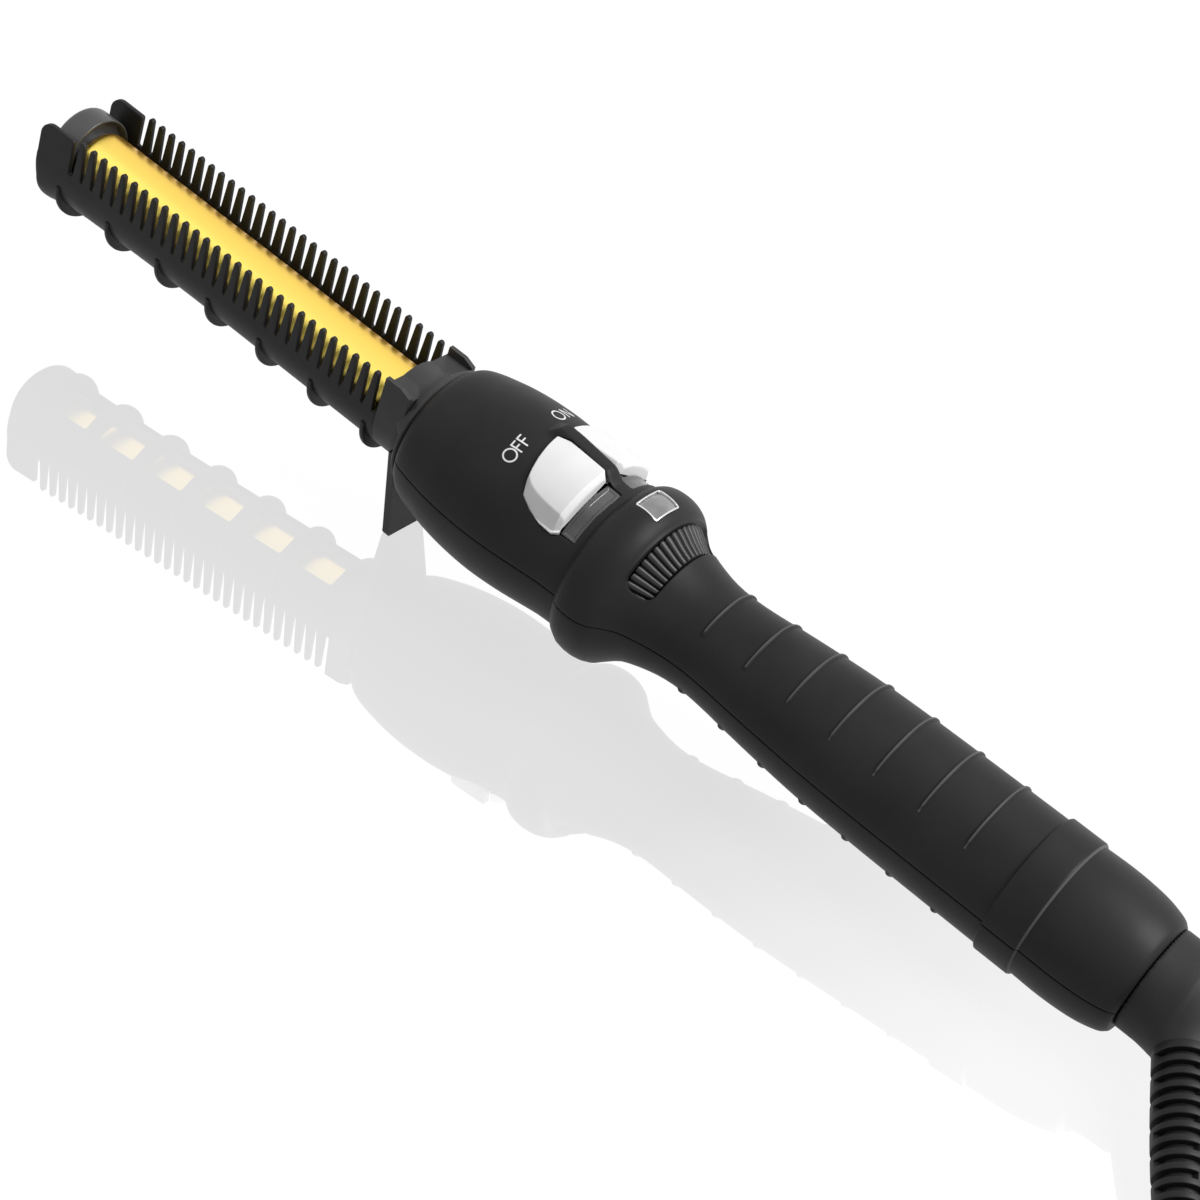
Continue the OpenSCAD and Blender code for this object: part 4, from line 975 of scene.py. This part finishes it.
# Grey windows behind the buttons, with a raised rim; the clear lens and its bright frame
def windowMesh(name, side):
    s = windowSet
    low, high = (math.radians(a) for a in s["angles"])
    rowEdge, edge = s["rim"] + 0.05, (s["rim"] + 0.1) / s["arcRadius"]
    x = np.linspace(s["from"] + rowEdge, s["to"] - rowEdge, s["grid"][0])
    theta = side * np.linspace(low + edge, high - edge, s["grid"][1])

    def place(px, angle):
        # the face lies deeper away from all four sides
        across = s["arcRadius"] * np.minimum(side * angle - low, high - side * angle)
        along = np.minimum(px - s["from"], s["to"] - px)
        r = shellRadius(px) - s["sunk"] - s["dish"] * smoothStep(np.minimum(across, along), *s["dishFrom"])
        return around(px, r, angle), around(px, s["inner"] + 0 * r, angle), 1.0, s["arcRadius"]

    return meshFrom(name, thickSheet(place, x, theta, solidSheet, s["rim"]))


def frameMesh(name, s):
    # a block or frame in the ring's top, its outer face turned from a profile and its edges rounded
    (start, end, halfY), step = s["outline"], s["step"]

    def place(x, y):
        outer, inner = (np.stack([x, y, np.sqrt(r**2 - y**2)], -1)
                        for r in (curveThrough(s["top"], x), s["inner"] + 0 * x))
        return outer, inner, 1.0, 1.0

    def material(x, y):
        off = x - (start + end) / 2
        depth = -boxDistance(off, y, (end - start) / 2, halfY, s["corner"])
        return np.minimum(depth, boxDistance(off, y, *s["hole"])) if "hole" in s else depth

    x, y = (np.arange(low - 0.2, high + 0.21, step) for low, high in ((start, end), (-halfY, halfY)))
    return meshFrom(name, thickSheet(place, x, y, material, s["rim"]))


slip = 0.05
start, end, half, bezel = (lensSet[key] for key in ("from", "to", "halfWidth", "bezel"))
lensOutline = {"outline": (start + slip, end - slip, half - slip), "corner": 0.6, "inner": 19.0,
               "step": 0.15, "rim": 0.15,
               "top": [(192.3, 22.3), (193.3, 22.75), (194.5, 23.0), (195.8, 23.0), (197, 22.8),
                       (198.6, 22.2)]}
bezelOutline = {"outline": (start - bezel + slip, end + bezel - slip, half + bezel - slip), "corner": 0.6,
                "inner": 20.0, "hole": (2.92, half + 0.02, 0.5), "step": 0.07, "rim": 0.09,
                "top": [(191.6, 23.05), (193, 23.45), (194.4, 23.6), (196, 23.55), (197.5, 23.25),
                        (199.3, 22.6)]}
twoSides = ((-1, "off"), (1, "on"))
for side, name in twoSides:
    addPiece(name + "_key", buttonMesh(name + "_key", side), name + "_push", "button", [name + "_button"], 50)
for side, name in twoSides:
    addPiece(name + "_smoke", windowMesh(name + "_smoke", side), "handle", "smoke", [name + "_window"])
addPiece("clear_lens", frameMesh("clear_lens", lensOutline), "handle", "lens", ["power_lens"])
addPiece("lens_frame", frameMesh("lens_frame", bezelOutline), "handle", "chrome", ["lens_bezel"])
print("buttons, windows and lens made")

# Heat dial: rounded ridges all round, on an axis of its own
dialSet = {"height": 3.5, "ridges": 48, "samples": 8, "depth": 0.85, "hole": 3.05,
           "rim": [(202.25, 16.4, 1), (202.35, 16.6, 1), (202.7, 16.5, 1), (203.7, 15.9, 1), (205.6, 14.6, 1),
                   (207.3, 13.6, 1), (208.45, 13.05, 1), (208.65, 12.9, 1), (208.7, 12.6, 1)]}


def dialMesh():
    # rows are (x, radius, 1 where ridged); the radius falls by depth times the cube of the distance from the
    # ridge's middle, in half pitches
    s = dialSet
    rows = [(204.25, s["hole"], 0), (204.25, 10.4, 0), (202.25, 12.5, 0), *s["rim"], (208.7, 10.4, 0),
            (206.7, 9.4, 0), (206.7, s["hole"], 0), (204.25, s["hole"], 0)]
    x, radius, ridged = np.array(rows).T[:, :, None]
    turn = fullTurn(s["ridges"] * s["samples"])
    phase = (np.arange(len(turn)) % s["samples"]) / s["samples"] * 2 - 1
    points = around(x, radius - ridged * s["depth"] * np.abs(phase)**3, turn) + (0, 0, s["height"])
    return meshFrom("heat_dial", [ringPart(points)])


addPiece("heat_dial", dialMesh(), "dial", "dial", ["dial_wheel"], 50)

# Cord exit: elbow and strain relief, both about the cord's own direction
elbowSet = {"radius": 13.2, "from": 347.2, "past": 0.8, "neck": 14.0, "cone": 11.2, "neckRadius": 6.85,
            "edge": 0.3, "ballIn": 0.4, "blends": (1.0, 3.0, 0.6), "far": 26,
            "pin": [(324.5, 0, 0), (324.5, 6, 0.4), (338.5, 6, 0), (338.5, 12, 0.3), (341.8, 12, 0.3),
                    (341.8, 9.7, 0), (348.5, 9.7, 0), (348.5, 0, 0)]}
# each level of the sleeve is a row of (along, eased in, slot's share of the depth)
bootSet = {"from": 13.6, "length": 48.45, "radius": (6.83, 4.7), "first": 2.3, "pitch": 3.28, "depth": 1.7,
           "clear": 3, "halfAngle": 136.5, "edge": (-1, 2), "centre": -78.5, "faces": (0.03, -0.74, 0.68),
           "sides": 144,
           "level": [(-0.35, 0, 0), (-0.12, 0.04, 0), (0, 0.16, 0), (0.04, 0.16, 1), (0.3, 0.16, 1),
                     (1.46, 0.16, 1), (1.72, 0.16, 1), (1.76, 0.16, 0), (1.88, 0.04, 0), (2.1, 0, 0)],
           "front": [(0, 0, 0), (0, 0.2, 0), (0.15, 0.05, 0), (0.5, 0, 0)],
           "rear": [(-2, 0, 0), (-0.5, 0, 0), (-0.1, 0.1, 0), (0, 0.4, 0), (0, 0, 0)]}
across = np.array(bootSet["faces"])
across = unit(across - (across @ cordWay) * cordWay)
beside = np.cross(cordWay, across)


def cordRing(sides):
    # directions all round the cord's line
    turn = fullTurn(sides)[:, None]
    return np.cos(turn) * across + np.sin(turn) * beside


def elbowDistance(p):
    # a short drum and a ball, running into a cone round the cord's line, cut square at both ends
    s = elbowSet
    x = p[..., 0] + elbowMiddle[0]
    ball = np.linalg.norm(p, axis=-1) - s["radius"] + s["ballIn"]
    half = (elbowMiddle[0] + s["past"] - s["from"]) / 2
    fromAxis = np.hypot(p[..., 1], p[..., 2])
    drum = boxDistance(fromAxis, p[..., 0] + half - s["past"], s["radius"], half, s["edge"])
    along = p @ cordWay
    away = np.linalg.norm(p - along[..., None] * cordWay, axis=-1)
    fall = (s["cone"] - s["neckRadius"]) / s["neck"]
    cone = (away - s["cone"] + fall * along) / math.hypot(1, fall)
    rounded, joined, cut = s["blends"]
    body = smoothMin(smoothMin(drum, ball, rounded), np.maximum(cone, -along), joined)
    return np.maximum(smoothMax(body, s["from"] - x, cut), along - s["neck"])


def elbowMesh():
    # distance out from the elbow's middle in every direction, its pole on the cord's line
    s = elbowSet
    mouth = math.atan2(s["neckRadius"], s["neck"])
    polar = np.concatenate([np.linspace(0, mouth - 0.01, 9), np.linspace(mouth, np.pi, 110)])[:, None, None]
    way = np.cos(polar) * cordWay + np.sin(polar) * cordRing(180)
    points = elbowMiddle + way * reach(elbowDistance, way, s["far"])[..., None]
    return meshFrom("cord_elbow", [ringPart(points), lathe(roundedProfile(s["pin"]), 96)])


def bootMesh():
    # radius falls with the cube of the distance; each level has one slot most of the way round, and the
    # bridge that it leaves is on the opposite side at the next level
    s = bootSet
    count = int((s["length"] - s["clear"] - s["first"]) / s["pitch"]) + 1
    rows = [np.array(s["front"])]
    rows += [np.array(s["level"]) + (s["first"] + s["pitch"] * k, 0, 0) for k in range(count)]
    rows += [np.array(s["rear"]) + (s["length"], 0, 0)]
    level = np.repeat([0, *range(count), 0], [len(part) for part in rows])[:, None]
    along, ease, sunk = np.concatenate(rows).T[:, :, None]
    turn = fullTurn(s["sides"])
    offset = np.abs((turn - math.radians(s["centre"]) - (level % 2) * np.pi + np.pi) % (2 * np.pi) - np.pi)
    inSlot = 1 - smoothStep(offset, *(math.radians(s["halfAngle"] + past) for past in s["edge"]))
    radius = s["radius"][0] + (s["radius"][1] - s["radius"][0]) * (along / s["length"])**3
    mouth = (level == 0) * (along < 1) * ease
    radius = radius - inSlot * np.maximum(ease, s["depth"] * sunk) - mouth * (1 - inSlot)
    radius[0] = radius[-1] = 0
    points = (elbowMiddle + (s["from"] + along) * cordWay)[:, None] + radius[..., None] * cordRing(s["sides"])
    return meshFrom("slotted_sleeve", [ringPart(points)])


addPiece("cord_elbow", elbowMesh(), "swivel", "elbow", ["swivel_elbow"])
addPiece("slotted_sleeve", bootMesh(), "swivel", "cord", ["strain_relief"], 30)
print("dial and cord exit made")

# ON and OFF, as thin raised strokes on the housing; letters are drawn in (right, up) millimetres
letterSet = {"stroke": 0.42, "raised": 0.04, "half": 1.74, "ring": 1.68, "side": 1.3,
             "turn": math.radians(4.5),
             "places": [("O", 161.5, -35.2), ("F", 161.45, -29.6), ("F", 161.25, -24.1), ("O", 160.45, 12.2),
                        ("N", 160.15, 22.6)]}


def letterStrokes(letter):
    half, side = letterSet["half"], letterSet["side"]
    if letter == "O":
        turn = np.linspace(0, 2 * np.pi, 49)
        return [letterSet["ring"] * np.stack([0.97 * np.cos(turn), np.sin(turn)], -1)]
    corners = {"F": [[(0, -half), (0, half)], [(0.2, half - 0.21), (1.55, half - 0.21)],
                     [(0.2, 0.1), (1.4, 0.1)]],
               "N": [[(-side, -half), (-side, half)], [(side, -half), (side, half)],
                     [(-side + 0.05, half - 0.2), (side - 0.05, 0.2 - half)]]}
    return [np.linspace(a, b, 10) for a, b in corners[letter]]


def strokeMesh():
    # each stroke is a ribbon square to its path, laid on the surface and given a little height
    s, parts = letterSet, []
    sine, cosine = math.sin(s["turn"]), math.cos(s["turn"])
    for letter, middle, degrees in s["places"]:
        for number, path in enumerate(letterStrokes(letter)):
            way = np.gradient(path, axis=0)
            if letter == "O":
                way[0] = way[-1] = path[1] - path[-2]
            way = unit(way)
            out = np.stack([-way[:, 1], way[:, 0]], -1) * s["stroke"] / 2
            flat = np.stack([path - out, path + out, path + out, path - out], 1)
            lift = np.array([-0.06, -0.06, s["raised"], s["raised"]]) - 0.003 * number
            x = middle - flat[..., 1] * cosine - flat[..., 0] * sine
            radius = shellRadius(x)
            theta = math.radians(degrees) + (flat[..., 0] * cosine - flat[..., 1] * sine) / radius
            faces = [gridFaces(len(path), 4, closeColumns=True)]
            if letter != "O":
                faces.append(np.array([[0, 1, 2, 3], [4 * len(path) - 1 - k for k in range(4)]]))
            parts.append((stand(around(x, radius + lift, theta)), faces))
    return meshFrom("on_off_letters", parts)


addPiece("on_off_letters", strokeMesh(), "handle", "ink")
print("lettering made")

# Floor, lamps and world; the mirror's share falls along X, in steps of (x + 0.5, share)
stageSet = {"floor": 3.0, "mirror": [(0.3, 0.3), (0.61, 0.27), (0.7, 0.1)], "mirrorRoughness": 0.02,
            "paint": 0.45, "shown": 0.9, "glow": 1.09, "glossy": 0.7, "aim": (0.06, 0, 0.03), "world": 0.26,
            "key": {"place": (0.83, 0.31, 1.15), "size": 0.8, "watts": 23.8},
            "fill": {"place": (-0.8, -0.5, 0.7), "size": 1.0, "watts": 1.0}}


def grey(level):
    return (level, level, level, 1)


def floorMaterial():
    # white to the eye, plain paint to the light, with a faint mirror that weakens towards the tail
    s, finish = stageSet, Finish(bpy.data.materials.new("floor_white"), {})
    eye, glossy, through = finish.rays()
    paint = finish.node("ShaderNodeBsdfDiffuse", None, {"Color": grey(s["paint"])})
    glow = finish.node("ShaderNodeEmission", None, {"Color": grey(1), "Strength": s["glow"]})
    mirror = finish.node("ShaderNodeBsdfGlossy", None, {"Color": grey(1), "Roughness": s["mirrorRoughness"]})
    along = finish.node("ShaderNodeSeparateXYZ", None, {"Vector": finish.place}, "X")
    share = finish.ramp(along + 0.5, [(x, grey(level)) for x, level in s["mirror"]])
    shown = (eye + glossy * s["glossy"] + through) * s["shown"]
    surface = finish.node("ShaderNodeMixShader", None, {0: shown, 1: paint, 2: glow})
    surface = finish.node("ShaderNodeMixShader", None, {0: share * eye, 1: surface, 2: mirror})
    finish.tree.nodes.remove(finish.shader)
    finish.tree.links.new(surface.socket, finish.tree.nodes["Material Output"].inputs["Surface"])
    return finish.owner


half = stageSet["floor"]
corners = [(-half, -half, 0), (half, -half, 0), (half, half, 0), (-half, half, 0)]
floor = linked("floor", meshFrom("floor", [(corners, np.array([[0, 1, 2, 3]]))]))
floor.data.materials.append(floorMaterial())

for name in ("key", "fill"):
    s = stageSet[name]
    lamp = linked(name, bpy.data.lights.new(name, "AREA"))
    lamp.data.energy, lamp.data.size = s["watts"], s["size"]
    lamp.location = s["place"]
    aim = np.array(stageSet["aim"]) - np.array(s["place"])
    lamp.rotation_euler = (math.atan2(math.hypot(aim[0], aim[1]), -aim[2]), 0, math.atan2(-aim[0], aim[1]))

# the world is white to the eye and in mirrors, and weaker as a light
world = bpy.data.worlds.new("studio")
bpy.context.scene.world = world
studio = Finish(world, {"Color": grey(1)}, "Background")
eye, glossy, through = studio.rays()
studio.feed("Strength", (eye + glossy + through) * (1 - stageSet["world"]) + stageSet["world"])
bpy.context.scene.view_settings.view_transform = "Standard"
print("stage made")
